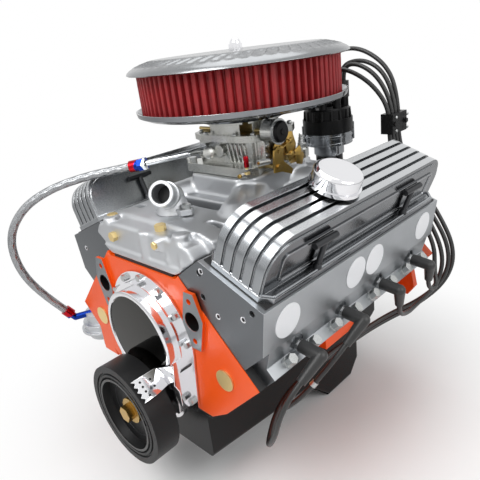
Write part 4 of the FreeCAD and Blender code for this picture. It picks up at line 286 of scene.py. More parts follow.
@dataclass(frozen=True)
class Finish:
    """One finish: its colours, its roughness, its grain's size and depth, and its wear; a few also
    carry painted shade or a painted reflection.
    """

    name: str
    base: str
    tint: str
    worn: str
    metallic: float = 1.0
    rough: tuple[float, float] = (0.3, 0.45)
    patch_mm: float = 60.0
    grain_mm: float = 0.8
    depth_mm: float = 0.02
    pattern: Pattern = Pattern.GRAIN
    stretch: Point = (1.0, 1.0, 1.0)
    edge_mm: float = 1.0
    wear: float = 0.5
    coat: float = 0.0
    specular: float = 0.5
    zones: tuple[Zone, ...] = ()

    def build(self) -> bpy.types.Material:
        """Makes the material once and returns it afterwards.

        Returns:
            The material.
        """
        done = bpy.data.materials.get(self.name)
        if done:
            return done
        material = bpy.data.materials.new(self.name)
        material.use_nodes = True
        graph = Graph(material.node_tree)
        place = graph.add("TexCoord")
        height = self._height(graph, place)
        patches = graph.add("TexNoise", {
            "Vector": place.outputs["Object"], "Scale": 1 / (self.patch_mm * MM), "Detail": 3.0})
        soft = graph.add("Bevel", {"Radius": self.edge_mm * MM}, samples=4).outputs["Normal"]
        edge = self._edge(graph, soft, patches.outputs["Fac"])
        colour = graph.mix(patches.outputs["Fac"], srgb(self.base), srgb(self.tint))
        colour = graph.mix(edge, colour, srgb(self.worn))
        rough = graph.spread(height, GRAIN_RANGE, self.rough)
        metallic = self.metallic
        for zone in self.zones:
            mask = zone.mask(graph, place)
            colour = graph.mix(mask, colour, srgb(zone.colour))
            rough = graph.blend(mask, rough, zone.roughness)
            metallic = graph.blend(mask, metallic, 1.0)
        bump = graph.add("Bump", {
            "Strength": 1.0, "Distance": self.depth_mm * MM, "Height": height, "Normal": soft})
        shader = graph.add("BsdfPrincipled", {
            "Base Color": colour, "Roughness": rough, "Normal": bump.outputs["Normal"],
            "Coat Weight": self.coat, "Coat Roughness": COAT_ROUGHNESS,
            "Specular IOR Level": self.specular, "Metallic": metallic})
        graph.add("OutputMaterial", {"Surface": shader.outputs["BSDF"]})
        return material

    def _height(self, graph: Graph, place: bpy.types.Node) -> Socket:
        """The grain's height, from 0 to 1."""
        if self.pattern is Pattern.BRAID:
            return self._braid(graph, place)
        scale = 1 / (self.grain_mm * MM)
        if self.pattern is Pattern.GAUZE:
            cells = graph.add("TexVoronoi", {"Vector": place.outputs["Object"], "Scale": scale},
                              feature="DISTANCE_TO_EDGE")
            return graph.math("MULTIPLY_ADD", cells.outputs["Distance"], 1.4, 0.2)
        stretched = graph.add("Mapping", {
            "Vector": place.outputs["Object"], "Scale": self.stretch})
        grain = graph.add("TexNoise", {"Vector": stretched.outputs["Vector"], "Scale": scale,
                                       "Detail": 4.0, "Roughness": 0.6})
        return grain.outputs["Fac"]

    def _braid(self, graph: Graph, place: bpy.types.Node, wires: int = 8) -> Socket:
        """Two crossing sets of wires that wind round a cord, on the cord's own UV map."""
        crossings = HOSE_LENGTH_MM / self.grain_mm / (2 * wires)
        strands = []
        for way in (1, -1):
            slanted = graph.add("Mapping", {
                "Vector": place.outputs["UV"], "Scale": (crossings, 1.0, 1.0)})
            parts = graph.add("SeparateXYZ", {0: slanted.outputs["Vector"]}).outputs
            around = graph.math("MULTIPLY_ADD", parts["Y"], float(wires * way), parts["X"])
            strands.append(graph.math("SINE", graph.math("MULTIPLY", around, TURN)))
        return graph.math("MULTIPLY_ADD", graph.math("MAXIMUM", *strands), 0.5, 0.5)

    def _edge(self, graph: Graph, soft: Socket, patches: Socket) -> Socket:
        """How much an edge is worn: where the rounded normal leaves the true one, in patches."""
        true = graph.add("NewGeometry").outputs["Normal"]
        bent = graph.spread(graph.dot(soft, true), EDGE_RANGE, (0.0, self.wear))
        return graph.math("MULTIPLY", bent, patches, use_clamp=True)


def finned_cover(name: str, side: int) -> Finish:
    """A valve cover's casting: duller in its troughs, bright where the crests were ground, and
    painted dark on its outward-facing side as painted shade.

    Args:
        name: the material's name.
        side: 1 for the first bank's cover, -1 for the other.

    Returns:
        The finish.
    """
    crests = Zone("C6C8CA", 0.2, (side * LEAN_SIN, 0, LEAN_COS), CREST_MM)
    # Painted shade: the faces that look outwards and down are painted dark.
    outside = Zone("6E7073", 0.1, facing=(side * LEAN_COS, 0, -LEAN_SIN))
    return Finish(
        name, "A3A6A9", "8B8E91", "ECEDEE", rough=(0.16, 0.34), grain_mm=1.1, depth_mm=0.03,
        stretch=(6, 1, 6), edge_mm=1.6, wear=0.9, zones=(crests, outside))


# Sand-cast aluminium, bead blasted: pale and even, with a fine sparkle.
CAST_ALLOY = Finish(
    "cast_aluminium", "C8CACC", "B8BABD", "E6E7E8", rough=(0.38, 0.56), grain_mm=0.9, depth_mm=0.1,
    edge_mm=2.2, zones=(Zone("CDCFD1", 0.28, (0, 0, 1), 320.5, facing=(0, 0, 1)),))
# Cast aluminium head, its ends and ledges milled: long fine cutter marks. Its front-facing faces
# are painted darker, and its rear-facing faces a little less, as painted shade.
HEAD_ALLOY = Finish(
    "milled_aluminium_painted_shade_ends", "B2B5B8", "9DA0A3", "D5D7D9", rough=(0.3, 0.46), grain_mm=1.3,
    depth_mm=0.05, stretch=(1, 1, 7),
    # Painted shade: front-facing faces darkest, rear-facing faces less dark.
    zones=(Zone("6C6F72", 0.33, facing=(0, -1, 0)), Zone("8F9396", 0.33, facing=(0, 1, 0))))
# Polished aluminium: near a mirror on the crests, with the odd fine scratch along the engine.
POLISHED = Finish(
    "polished_aluminium", "ABAEB1", "93969A", "F2F3F4", rough=(0.09, 0.2), grain_mm=1.0,
    depth_mm=0.012, stretch=(6, 1, 6), edge_mm=1.4)
COVER_LEFT = finned_cover("finned_cover_left", 1)
COVER_RIGHT = finned_cover("finned_cover_right", -1)
# The air cleaner's lid: cast aluminium, turned and buffed.
LID_ALLOY = Finish(
    "fluted_lid_alloy", "97999B", "7D7F81", "EDEDEE", rough=(0.16, 0.3), grain_mm=1.2,
    stretch=(1, 9, 1), edge_mm=0.8, wear=0.8)
# The valve covers' sides and the air cleaner's base, buffed to a mirror.
SIDE_MIRROR = Finish(
    "buffed_side", "8C8E91", "7E8083", "E9EAEB", rough=(0.06, 0.14), grain_mm=3.0, edge_mm=1.2,
    wear=1.0)
# Chrome on the timing cover's disc, its colour darkened as a painted dark reflection.
CHROME_PAINTED_DARK = Finish(
    "chrome_disc_painted_dark_reflection", "2C2B27", "242320", "8D8D89", rough=(0.05, 0.1), grain_mm=8.0, edge_mm=0.8,
    wear=0.3)
# Chrome plate on pressed steel: a clean mirror.
CHROME = Finish(
    "chrome_plate", "A9ACAF", "94979A", "F4F5F6", rough=(0.03, 0.09), grain_mm=6.0, depth_mm=0.01,
    wear=0.2)
# Orange enamel sprayed over the whole block, with its machined ends left bare.
BLOCK_PAINT = Finish(
    "orange_enamel", "F0570B", "E24C06", "FF7A2A", metallic=0.0, rough=(0.26, 0.44), grain_mm=2.2,
    depth_mm=0.16, edge_mm=2.4, coat=0.12, specular=0.3,
    zones=(Zone("85888B", 0.35, (0, -1, 0), 523.0, facing=(0, -1, 0)),
           Zone("7F8386", 0.4, (0, 1, 0), -11.0, facing=(0, 1, 0))))
# Gloss black enamel on pressed steel.
BLACK_ENAMEL = Finish(
    "black_enamel", "030303", "060607", "161617", metallic=0.0, rough=(0.16, 0.28), grain_mm=3.0,
    depth_mm=0.08, edge_mm=1.6, specular=0.2)
# Satin black on cast iron; also painted shade inside ports and threaded holes.
BLACK_IRON_AND_SHADE = Finish(
    "black_iron_and_painted_shade", "101011", "1A1A1B", "38383A", metallic=0.0, rough=(0.3, 0.5),
    grain_mm=1.4, depth_mm=0.06, edge_mm=0.9, specular=0.2)
# Clear zinc plate on bolts, clamps and springs.
ZINC = Finish("zinc_plate", "C3C5C6", "A9ABA8", "E2E3E3", rough=(0.22, 0.38), edge_mm=0.6)
# Dark oxide on hardened steel.
DARK_STEEL = Finish(
    "dark_oxide_steel", "4A4B4D", "37383A", "8B8C8E", rough=(0.28, 0.45), edge_mm=0.6)
# Ground steel shafts, with the wheel's fine marks.
GROUND_STEEL = Finish(
    "ground_steel", "9A9C9E", "86888A", "C6C8CA", rough=(0.2, 0.35), grain_mm=1.0,
    stretch=(1, 8, 1))
# Machined cast iron: dull, with an open grain.
GREY_IRON = Finish(
    "machined_cast_iron", "6E6F71", "5C5D5F", "96979A", rough=(0.35, 0.55), grain_mm=1.2,
    depth_mm=0.06)
# Die-cast carburettor alloy with a thin, uneven dip.
CARB_ALLOY = Finish(
    "carburettor_casting", "D0D1D0", "B4B4AC", "F4F4F2", rough=(0.18, 0.34), patch_mm=18.0,
    grain_mm=0.9, depth_mm=0.05, edge_mm=1.1, wear=0.8)
# Yellow dichromate over zinc, uneven from gold to tan.
GOLD_DIP = Finish(
    "gold_dichromate", "C9A24B", "A98F5E", "E6CF8E", rough=(0.24, 0.4), patch_mm=9.0,
    depth_mm=0.03, edge_mm=0.6)
# Turned brass.
BRASS = Finish("brass", "C9A14E", "B38A3A", "E8CE8C", rough=(0.2, 0.34), edge_mm=0.6)
# Machined piston aluminium, for the pistons and whatever has no finish of its own.
PISTON_ALLOY = Finish(
    "piston_aluminium", "A9ABAE", "989A9D", "D0D1D3", rough=(0.24, 0.4), grain_mm=0.9,
    stretch=(1, 1, 6))
# The soft grey of plain bearing metal.
BEARING = Finish(
    "bearing_metal", "8D8E8F", "7B7C7D", "B4B5B6", rough=(0.25, 0.4), grain_mm=1.5, depth_mm=0.05)
# Moulded black rubber.
RUBBER = Finish(
    "black_rubber", "141415", "1E1E1F", "303032", metallic=0.0, rough=(0.42, 0.62), grain_mm=1.2,
    depth_mm=0.04, edge_mm=0.8, wear=0.3, specular=0.2)
# Pressed black gasket sheet.
GASKET = Finish(
    "black_gasket", "121213", "1C1C1D", "2A2A2B", metallic=0.0, rough=(0.5, 0.7), grain_mm=0.9,
    depth_mm=0.05, edge_mm=0.4, wear=0.2)
# Moulded black phenolic.
CAP_PLASTIC = Finish(
    "black_phenolic", "101011", "171718", "343436", metallic=0.0, rough=(0.26, 0.4), grain_mm=2.0,
    depth_mm=0.03, wear=0.4, specular=0.2)
# Cotton gauze in red oil, under a fine net.
RED_GAUZE = Finish(
    "oiled_red_gauze", "A0141A", "6E0A10", "B8282C", metallic=0.0, rough=(0.5, 0.75),
    patch_mm=14.0, grain_mm=1.6, depth_mm=0.25, pattern=Pattern.GAUZE, edge_mm=0.4)
# Stainless wire braided round the fuel hose.
BRAIDED = Finish(
    "braided_stainless", "A9ABAD", "8C8E90", "D6D7D8", rough=(0.22, 0.45), grain_mm=1.6,
    depth_mm=0.5, pattern=Pattern.BRAID, edge_mm=0.3)
# Anodised aluminium: red, and blue with red collars and a bright nut.
RED_ANODISED = Finish("red_anodised", "B01C26", "8E1420", "D8707A", rough=(0.2, 0.34), edge_mm=0.5)
BLUE_ANODISED = Finish(
    "blue_anodised", "1E3F9E", "162F7C", "6C86CE", rough=(0.2, 0.34), edge_mm=0.5,
    zones=(Zone("B01C26", 0.24, (1, 0, 0), -113.0, -98.5),
           Zone("D9DBDD", 0.12, (1, 0, 0), -86.6, 0.0),
           Zone("B01C26", 0.24, (0, 0, 1), 65.0, 100.0)))
# White vinyl over the exhaust ports.
PORT_VINYL = Finish(
    "white_vinyl", "E9EAEC", "DFE1E4", "F7F7F8", metallic=0.0, rough=(0.3, 0.42), grain_mm=2.4,
    edge_mm=0.4)
# Plated steel shells of the spark plugs.
PLUG_SHELL = Finish(
    "plug_shell_steel", "C9CACB", "B6B8B9", "E8E9EA", rough=(0.2, 0.36), edge_mm=0.5)
# The pale sheet that the engine stands on.
FLOOR = Finish(
    "pale_floor", "F2F2F2", "EFEFEF", "F2F2F2", metallic=0.0, rough=(0.55, 0.7), grain_mm=3.0,
    depth_mm=0.01, edge_mm=0.1, wear=0.0)


# ---------------------------------------------------------------- mesh making
@dataclass
class Shape:
    """One piece's mesh, put together from closed solids by bmesh operators."""

    bm: BMesh = field(default_factory=bmesh.new)

    def lathe(self, profile: Profile, place: Matrix, steps: int = 48) -> Shape:
        """Spins a profile of (radius, height) millimetres into a closed solid.

        Args:
            profile: points from the axis out and back to it, or a ring's section away from it.
            place: where it goes.
            steps: how many sides it has.

        Returns:
            This shape, so that another call can follow.
        """
        bm = self.bm
        before = set(bm.verts)
        verts = [bm.verts.new((r * MM, 0, z * MM)) for r, z in profile]
        pairs = list(zip(verts, verts[1:]))
        if profile[0][0] > 0:
            pairs.append((verts[-1], verts[0]))
        edges = [bm.edges.new(pair) for pair in pairs]
        bmesh.ops.spin(bm, geom=verts + edges, cent=(0, 0, 0), axis=UP, angle=TURN, steps=steps,
                       use_merge=True)
        new = [v for v in bm.verts if v not in before]
        bmesh.ops.remove_doubles(bm, verts=new, dist=WELD)
        new = [v for v in bm.verts if v not in before]
        bmesh.ops.recalc_face_normals(bm, faces=faces_of(new))
        bmesh.ops.transform(bm, matrix=place, verts=new)
        return self

    def rod(self, start: Vector, end: Vector, radius: float, sides: int = 20) -> Shape:
        """A round or many-sided rod between two points, with a small chamfer.

        Args:
            start: one end, in metres.
            end: the other end, in metres.
            radius: in millimetres, to the corners.
            sides: how many sides it has.

        Returns:
            This shape.
        """
        way = end - start
        long, chamfer = way.length / MM, min(0.5, radius * 0.15)
        return self.lathe([(0, 0), (radius - chamfer, 0), (radius, chamfer),
                           (radius, long - chamfer), (radius - chamfer, long), (0, long)],
                          pose(start, way), sides)

    def hexagon(self, at: Vector, towards: Vector, across: float, height: float,
                turn: float = 0.0) -> Shape:
        """A hexagon head with its corners dressed.

        Args:
            at: the middle of its underside, in metres.
            towards: the way it stands up.
            across: millimetres across the flats.
            height: millimetres high.
            turn: degrees turned about its axis.

        Returns:
            This shape.
        """
        corner = across / math.sqrt(3)
        return self.lathe([(0, 0), (corner, 0), (corner, height * 0.86), (corner * 0.9, height),
                           (0, height)], pose(at, towards, turn), 6)

    def screw(self, at: Vector, towards: Vector, radius: float, height: float,
              turn: float = 0.0) -> Shape:
        """A round-headed screw with a recess in it.

        Args:
            at: the middle of its underside, in metres.
            towards: the way it stands up.
            radius: the head's, in millimetres.
            height: the head's, in millimetres.
            turn: degrees turned about its axis.

        Returns:
            This shape.
        """
        return self.lathe([(0, 0), (radius, 0), (radius, height * 0.45),
                           (radius * 0.8, height * 0.85), (radius * 0.25, height),
                           (radius * 0.25, height * 0.55), (0, height * 0.55)],
                          pose(at, towards, turn), 20)

    def plate(self, outline: list[Vector], thick: Vector, round_mm: float = 0.6) -> Shape:
        """A flat plate from its outline, thickened and with its edges rounded.

        Args:
            outline: its corners, in metres, in order.
            thick: the way and the distance it is thickened.
            round_mm: the edges' rounding.

        Returns:
            This shape.
        """
        verts = [self.bm.verts.new(p) for p in outline]
        whole = verts + grow(self.bm, [self.bm.faces.new(verts)], thick)[1]
        bmesh.ops.recalc_face_normals(self.bm, faces=faces_of(whole))
        edges = list({e for v in whole for e in v.link_edges})
        bmesh.ops.bevel(self.bm, geom=edges, offset=round_mm * MM, segments=2, profile=0.5,
                        affect="EDGES", material=-1)
        return self

    def spring(self, at: Vector, way: Vector, length: float, radius: float = 4.6,
               wire: float = 0.75, pitch: float = 2.6, steps: int = 14) -> Shape:
        """Winds a closed coil spring.

        Args:
            at: its start, in metres.
            way: the way it runs.
            length: in millimetres.
            radius: of the coil, in millimetres.
            wire: the wire's radius, in millimetres.
            pitch: between two turns, in millimetres.
            steps: how many straight pieces make one turn.

        Returns:
            This shape.
        """
        bm, turns = self.bm, int(length / pitch)
        circle = bmesh.ops.create_circle(bm, cap_ends=True, segments=8, radius=wire * MM)["verts"]
        before = set(bm.verts) - set(circle)
        bmesh.ops.rotate(bm, verts=circle, matrix=Matrix.Rotation(math.pi / 2, 3, "X"))
        bmesh.ops.translate(bm, verts=circle, vec=(radius * MM, 0, 0))
        bmesh.ops.spin(bm, geom=faces_of(circle), cent=(0, 0, 0), axis=UP, angle=TURN * turns,
                       steps=steps * turns, dvec=(0, 0, pitch * MM / steps), use_duplicate=False)
        new = [v for v in bm.verts if v not in before]
        bmesh.ops.recalc_face_normals(bm, faces=faces_of(new))
        bmesh.ops.transform(bm, matrix=pose(at, way), verts=new)
        return self

    def finish(self, name: str, look: Finish, slot: str,
               body: Body = Body.ENGINE) -> bpy.types.Object:
        """Turns the mesh into a piece that rides on a body.

        Args:
            name: the piece's name.
            look: its finish.
            slot: not used.
            body: what it rides on.

        Returns:
            The piece.
        """
        for face in self.bm.faces:
            face.smooth = True
        for edge in self.bm.edges:
            edge.smooth = len(edge.link_faces) == 2 and edge.calc_face_angle(0) < SHARP
        piece = stand(name, mesh_from(name, self.bm))
        piece.data.materials.append(look.build())
        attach(piece, body.value)
        LOG.info("%s: %d faces", name, len(piece.data.polygons))
        return piece


# ---------------------------------------------------------------- stage
@dataclass(frozen=True)
class Lamp:
    """A large soft lamp: where it hangs from the engine's middle, its width and its power."""

    name: str
    azimuth: float
    elevation: float
    far_m: float
    width_m: float
    watts: float


@dataclass
class Stage:
    """The pale floor, the soft lamps, the world and the camera."""

    azimuth: float = 46.8
    elevation: float = 21.7
    roll: float = 7.2
    distance_mm: float = 963.0
    shift_mm: tuple[float, float] = (33.3, -52.6)
    aim_mm: Point = (0.0, -270.0, 120.0)
    lens: float = 37.65
    sensor_mm: float = 36.0
    floor_m: float = 6.0
    floor_y: float = -0.25
    lamps: tuple[Lamp, ...] = (Lamp("key_lamp", 5, 48, 2.0, 1.3, 25),
                               Lamp("side_lamp", 95, 30, 2.2, 1.4, 15),
                               Lamp("top_lamp", 200, 78, 1.9, 1.6, 10))

    def camera(self) -> None:
        """Sets the camera at the viewing angle."""
        a, r = math.radians(self.azimuth), math.radians(self.roll)
        back = aim(self.azimuth, self.elevation)
        right = Vector((math.cos(a), math.sin(a), 0))
        up = back.cross(right)
        right_r = right * math.cos(r) - up * math.sin(r)
        up_r = right * math.sin(r) + up * math.cos(r)
        at = vec(self.aim_mm) + back * self.distance_mm * MM
        at -= right_r * self.shift_mm[0] * MM + up_r * self.shift_mm[1] * MM
        data = bpy.data.cameras.new("camera")
        data.lens, data.sensor_width = self.lens, self.sensor_mm
        data.clip_start, data.clip_end = 0.02, 50.0
        seat = stand("camera", data)
        turned = Matrix((right_r, up_r, back)).transposed().to_4x4()
        seat.matrix_world = Matrix.Translation(at) @ turned
        bpy.context.scene.camera = seat

    def floor(self, height: float) -> None:
        """Lays the floor under the engine.

        Args:
            height: the floor's level, in metres.
        """
        bm = bmesh.new()
        bmesh.ops.create_grid(bm, x_segments=1, y_segments=1, size=self.floor_m)
        bmesh.ops.translate(bm, vec=(0, self.floor_y, height), verts=bm.verts)
        slab = stand("floor", mesh_from("floor", bm))
        material = FLOOR.build()
        self._fade(material)
        slab.data.materials.append(material)

    @staticmethod
    def _fade(material: bpy.types.Material, middle: Point = (0.0, -0.26, 0.0),
              near: float = 0.3, far: float = 0.7) -> None:
        """Fades the floor into the white backdrop, so that only the shadow under the part stays.

        Args:
            material: the floor's material.
            middle: the point under the engine's middle, in metres.
            near: where the fade starts, in metres from the middle.
            far: where the floor is as white as the backdrop.
        """
        output = next(n for n in material.node_tree.nodes if n.type == "OUTPUT_MATERIAL")
        surface = output.inputs["Surface"].links[0].from_socket
        graph = Graph(material.node_tree, fresh=False)
        spot = graph.add("TexCoord").outputs["Object"]
        reach = graph.add("VectorMath", {0: spot, 1: middle}, operation="DISTANCE")
        seen = graph.math("MULTIPLY",
                          graph.spread(reach.outputs["Value"], (near, far),
                                       interpolation_type="SMOOTHSTEP"),
                          graph.add("LightPath").outputs["Is Camera Ray"])
        white = graph.add("Emission", {"Color": (1, 1, 1, 1), "Strength": 1.0})
        blend = graph.add("MixShader", {0: seen, 1: surface, 2: white.outputs[0]})
        graph.tree.links.new(blend.outputs[0], output.inputs["Surface"])

    def light(self) -> None:
        """Hangs the lamps and sets a white world."""
        for lamp in self.lamps:
            way = aim(lamp.azimuth, lamp.elevation)
            data = bpy.data.lights.new(lamp.name, "AREA")
            data.shape, data.size, data.energy = "DISK", lamp.width_m, lamp.watts
            hung = stand(lamp.name, data)
            hung.matrix_world = pose(vec(self.aim_mm) + way * lamp.far_m, way)
        world = bpy.data.worlds.new("studio")
        bpy.context.scene.world = world
        world.use_nodes = True
        graph = Graph(world.node_tree)
        rays = graph.add("LightPath").outputs
        seen = rays["Is Camera Ray"]
        for ray in ("Is Glossy Ray", "Is Transmission Ray"):
            seen = graph.math("MAXIMUM", seen, rays[ray])
        strength = graph.spread(seen, (0.0, 1.0), (WORLD_LIGHT, WORLD_SEEN))
        sky = graph.add("Background", {"Color": (1, 1, 1, 1), "Strength": strength})
        graph.add("OutputWorld", {"Surface": sky.outputs[0]})
        bpy.context.scene.view_settings.view_transform = "Standard"


# ---------------------------------------------------------------- cords
@dataclass(frozen=True)
class Cord:
    """A free cord: its CAD node, its real length, its route in millimetres and its thickness."""

    node: str
    length_mm: float
    route: tuple[Point, ...]
    diameter_mm: float = 8.0
    look: Finish = RUBBER
    slot: str = "black_rubber"
    stiffness: str = "medium"

    def lay(self, pieces: list[bpy.types.Object]) -> bpy.types.Object:
        """Lays the cord as a smooth curve on its route.

        Args:
            pieces: not used.

        Returns:
            The curve.
        """
        name = self.node + "_cord"
        curve = bpy.data.curves.new(name, "CURVE")
        curve.dimensions = "3D"
        spline = curve.splines.new("NURBS")
        spline.points.add(len(self.route) - 1)
        for spot, point in zip(spline.points, self.route):
            spot.co = (point[0] * MM, point[1] * MM, point[2] * MM, 1.0)
        spline.order_u = 3
        spline.use_endpoint_u = True
        spline.resolution_u = 10
        curve.bevel_depth = self.diameter_mm * MM / 2
        curve.bevel_resolution = 5
        curve.use_fill_caps = True
        curve.materials.append(self.look.build())
        cord = stand(name, curve)
        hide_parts(self.node)
        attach(cord, Body.ENGINE.value)
        LOG.info("%s: %d route points", name, len(self.route))
        return cord


# The braided fuel hose and the first bank's four ignition leads, in the order they are laid.
CORDS: tuple[Cord, ...] = (
    Cord("fuel_hose", HOSE_LENGTH_MM, (
        (-268, -545, 78), (-283, -578, 128), (-290, -600, 188), (-284, -600, 250),
        (-262, -572, 298), (-225, -528, 326), (-178, -480, 340), (-138, -448, 346),
        (-112, -432, 350)), 14.5, BRAIDED, "braided_steel"),
    Cord("lead_1", 1303.0, (
        (262.6, -476.6, 101.8), (252.6, -505.7, 76.3), (232, -508, 10), (190, -484, -46),
        (150, -410, -38), (147, -320, -24), (156, -225, -28), (178, -140, -14), (222, -62, 6),
        (256, -7, 44), (270, -7, 112), (232, -7, 186), (172, -7, 262), (152, -7, 322),
        (152.3, -7, 388), (136, -9, 448), (84, -13, 486), (36, -17, 488), (10.6, -18.7, 466),
        (10.6, -18.7, 432))),
    Cord("lead_3", 1149.0, (
        (262.6, -370, 101.8), (253.6, -396.2, 78.8), (222, -434, 26), (180, -440, -16),
        (163, -372, -18), (161, -290, -8), (166, -205, -12), (190, -128, 4), (232, -62, 22),
        (260, -18, 60), (262, -18, 124), (222, -18, 190), (168, -18, 264), (152, -18, 324),
        (152.3, -18, 388), (130, -18, 444), (86, -19, 468), (37.4, -18.7, 458),
        (37.4, -18.7, 432))),
    Cord("lead_5", 710.0, (
        (265.6, -217.4, 95.8), (259.2, -206.2, 68.7), (250, -160, 44), (243, -104, 36),
        (254, -44, 52), (258, -29, 110), (222, -29, 182), (168, -29, 262), (152, -29, 322),
        (152.3, -29, 384), (128, -34, 436), (88, -37, 462), (56.3, -37.6, 458),
        (56.3, -37.6, 432))),
    Cord("lead_7", 556.0, (
        (265.6, -110.8, 95.8), (259.6, -100.4, 70.5), (264, -72, 58), (250, -52, 86),
        (243, -40, 132), (208, -40, 190), (166, -40, 258), (152, -40, 320), (152.3, -40, 380),
        (126, -50, 424), (88, -62, 452), (56.3, -64.4, 456), (56.3, -64.4, 432))),
)


# ---------------------------------------------------------------- solids of the frame
DRESS: dict[str, Finish] = {name: look for look, names in (
    (BLOCK_PAINT, "engine_block"), (BLACK_ENAMEL, "oil_pan"), (BLACK_IRON_AND_SHADE, "vibration_damper"),
    (HEAD_ALLOY, "cylinder_head_left cylinder_head_right"), (SIDE_MIRROR, "air_cleaner_base"),
    (COVER_LEFT, "valve_cover_left"), (COVER_RIGHT, "valve_cover_right"),
    (CAST_ALLOY, "fuel_pump thermostat_housing intake_manifold"),
    (POLISHED, "air_cleaner_lid distributor_housing"), (PORT_VINYL, "exhaust_port_covers"),
    (CHROME, "timing_cover timing_tab breather_cap air_cleaner_stud"),
    (CARB_ALLOY, "carburettor_base carburettor_body carburettor_air_horn"),
    (GOLD_DIP, "throttle_lever damper_bolt"), (ZINC, "head_bolts small_bolts"),
    (BRASS, "brass_plugs primary_throttle secondary_throttle choke_plate"),
    (DARK_STEEL, "valve_cover_bolts timing_chain cam_sprocket crank_sprocket"),
    (GROUND_STEEL, "crankshaft camshaft distributor_shaft"), (GREY_IRON, "main_bearing_caps"),
    (PLUG_SHELL, "spark_plugs"), (BEARING, "plain_bearings"), (RUBBER, "plug_boots"),
    (GASKET, "valve_cover_seals flat_gaskets"), (RED_GAUZE, "air_filter_element"),
    (CAP_PLASTIC, "lead_loom distributor_cap distributor_rotor"),
    (BLUE_ANODISED, "fuel_fittings"),
) for name in names.split()}


def dress(nodes: dict[str, bpy.types.Object]) -> None:
    """Gives every solid of the frame its finish.

    Args:
        nodes: the frame's solids by name.
    """
    for name, solid in nodes.items():
        look = DRESS.get(name, PISTON_ALLOY).build()
        for slot in solid.material_slots:
            slot.material = look
        LOG.info("%s: %s", name, look.name)


# ---------------------------------------------------------------- pieces of the scene
@dataclass
class IntakeCasting:
    """The intake manifold with the soft fillets of a sand casting, and its bolts and bosses."""

    solid: bpy.types.Object
    weld_m: float = 1e-5
    voxel_mm: float = 2.6
    rounds: int = 7
    runner_mm: float = 25.0
    stagger_mm: float = 11.0
    bolt_mm: float = 14.0
    bolt_stagger_mm: float = 11.2
    bolt_lean: float = 0.6

    def build(self) -> None:
        """Softens a copy of the solid, then adds the bolts and the plug on it."""
        self._casting()
        self._bolts()

    def _casting(self) -> None:
        """Fuses the solid with round runners and bosses, and rounds every corner."""
        rough = Shape()
        rough.bm.from_mesh(self.solid.data)
        bmesh.ops.remove_doubles(rough.bm, verts=rough.bm.verts, dist=self.weld_m)
        self._runners(rough)
        self._bosses(rough)
        raw = stand("intake_source", mesh_from("intake_source", rough.bm))
        remesh = raw.modifiers.new("remesh", "REMESH")
        remesh.mode, remesh.voxel_size = "VOXEL", self.voxel_mm * MM
        smooth = raw.modifiers.new("smooth", "SMOOTH")
        smooth.factor, smooth.iterations = 0.5, self.rounds
        ready = bpy.data.meshes.new_from_object(
            raw.evaluated_get(bpy.context.evaluated_depsgraph_get()))
        bpy.data.objects.remove(raw)
        soft = Shape()
        soft.bm.from_mesh(ready)
        bpy.data.meshes.remove(ready)
        piece = soft.finish("intake_casting", CAST_ALLOY, "cast_alloy")
        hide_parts("intake_manifold")

    def _runners(self, rough: Shape) -> None:
        """Round runners from the plenum down to each bank, two for each pair of ports."""
        radius = self.runner_mm
        arc = [math.radians(-60 + 30 * k) for k in range(5)]
        ball = [(0, -radius), *((radius * math.cos(t), radius * math.sin(t)) for t in arc),
                (0, radius)]
        for side in (1, -1):
            stagger = -side * self.stagger_mm
            # Each runner's y at the plenum and at the head.
            for near, far in ((-300, -420), (-290, -372), (-238, -170), (-226, -118)):
                knee = vec((side * 86, (near + 2 * far) / 3 + stagger, 281))
                rough.rod(vec((side * 42, near, 292)), knee, radius)
                rough.rod(knee, vec((side * 122, far + stagger, 250)), radius)
                rough.lathe(ball, pose(knee, UP), 20)

    @staticmethod
    def _bosses(rough: Shape) -> None:
        """The bosses and ribs on the front water passage."""
        # Each boss's place, its foot's and its top's height, and its radius.
        for x, y, low, high, radius in ((14, -512, 244, 284, 9), (-92, -500, 250, 286, 13),
                                        (88, -500, 248, 290, 13), (52, -514, 262, 280, 9)):
            rough.rod(vec((x, y, low)), vec((x, y, high)), radius, 16)
        for x in (70, 100):
            rough.rod(vec((x, -515, 246)), vec((x - 6, -506, 284)), 4.5, 12)

    def _bolts(self) -> None:
        """Flanged bolts along both of the manifold's flanges, and the front boss's brass plug."""
        bolts = Shape()
        for side in (1, -1):
            way = Vector((side * self.bolt_lean, 0, 1)).normalized()
            for y in (-478, -392, -322, -204, -134, -48):
                at = vec((side * 131, y - side * self.bolt_stagger_mm, 249))
                bolts.lathe(band(0, 9, 0, 2), pose(at, way), 20)
                bolts.hexagon(at + way * 2 * MM, way, self.bolt_mm, 7, turn=y)
        bolts.finish("intake_bolts", ZINC, "zinc_steel")
        plug = Shape().hexagon(vec((52, -519.5, 272)), FRONT, 11, 5)
        plug.finish("intake_front_plug", BRASS, "brass")


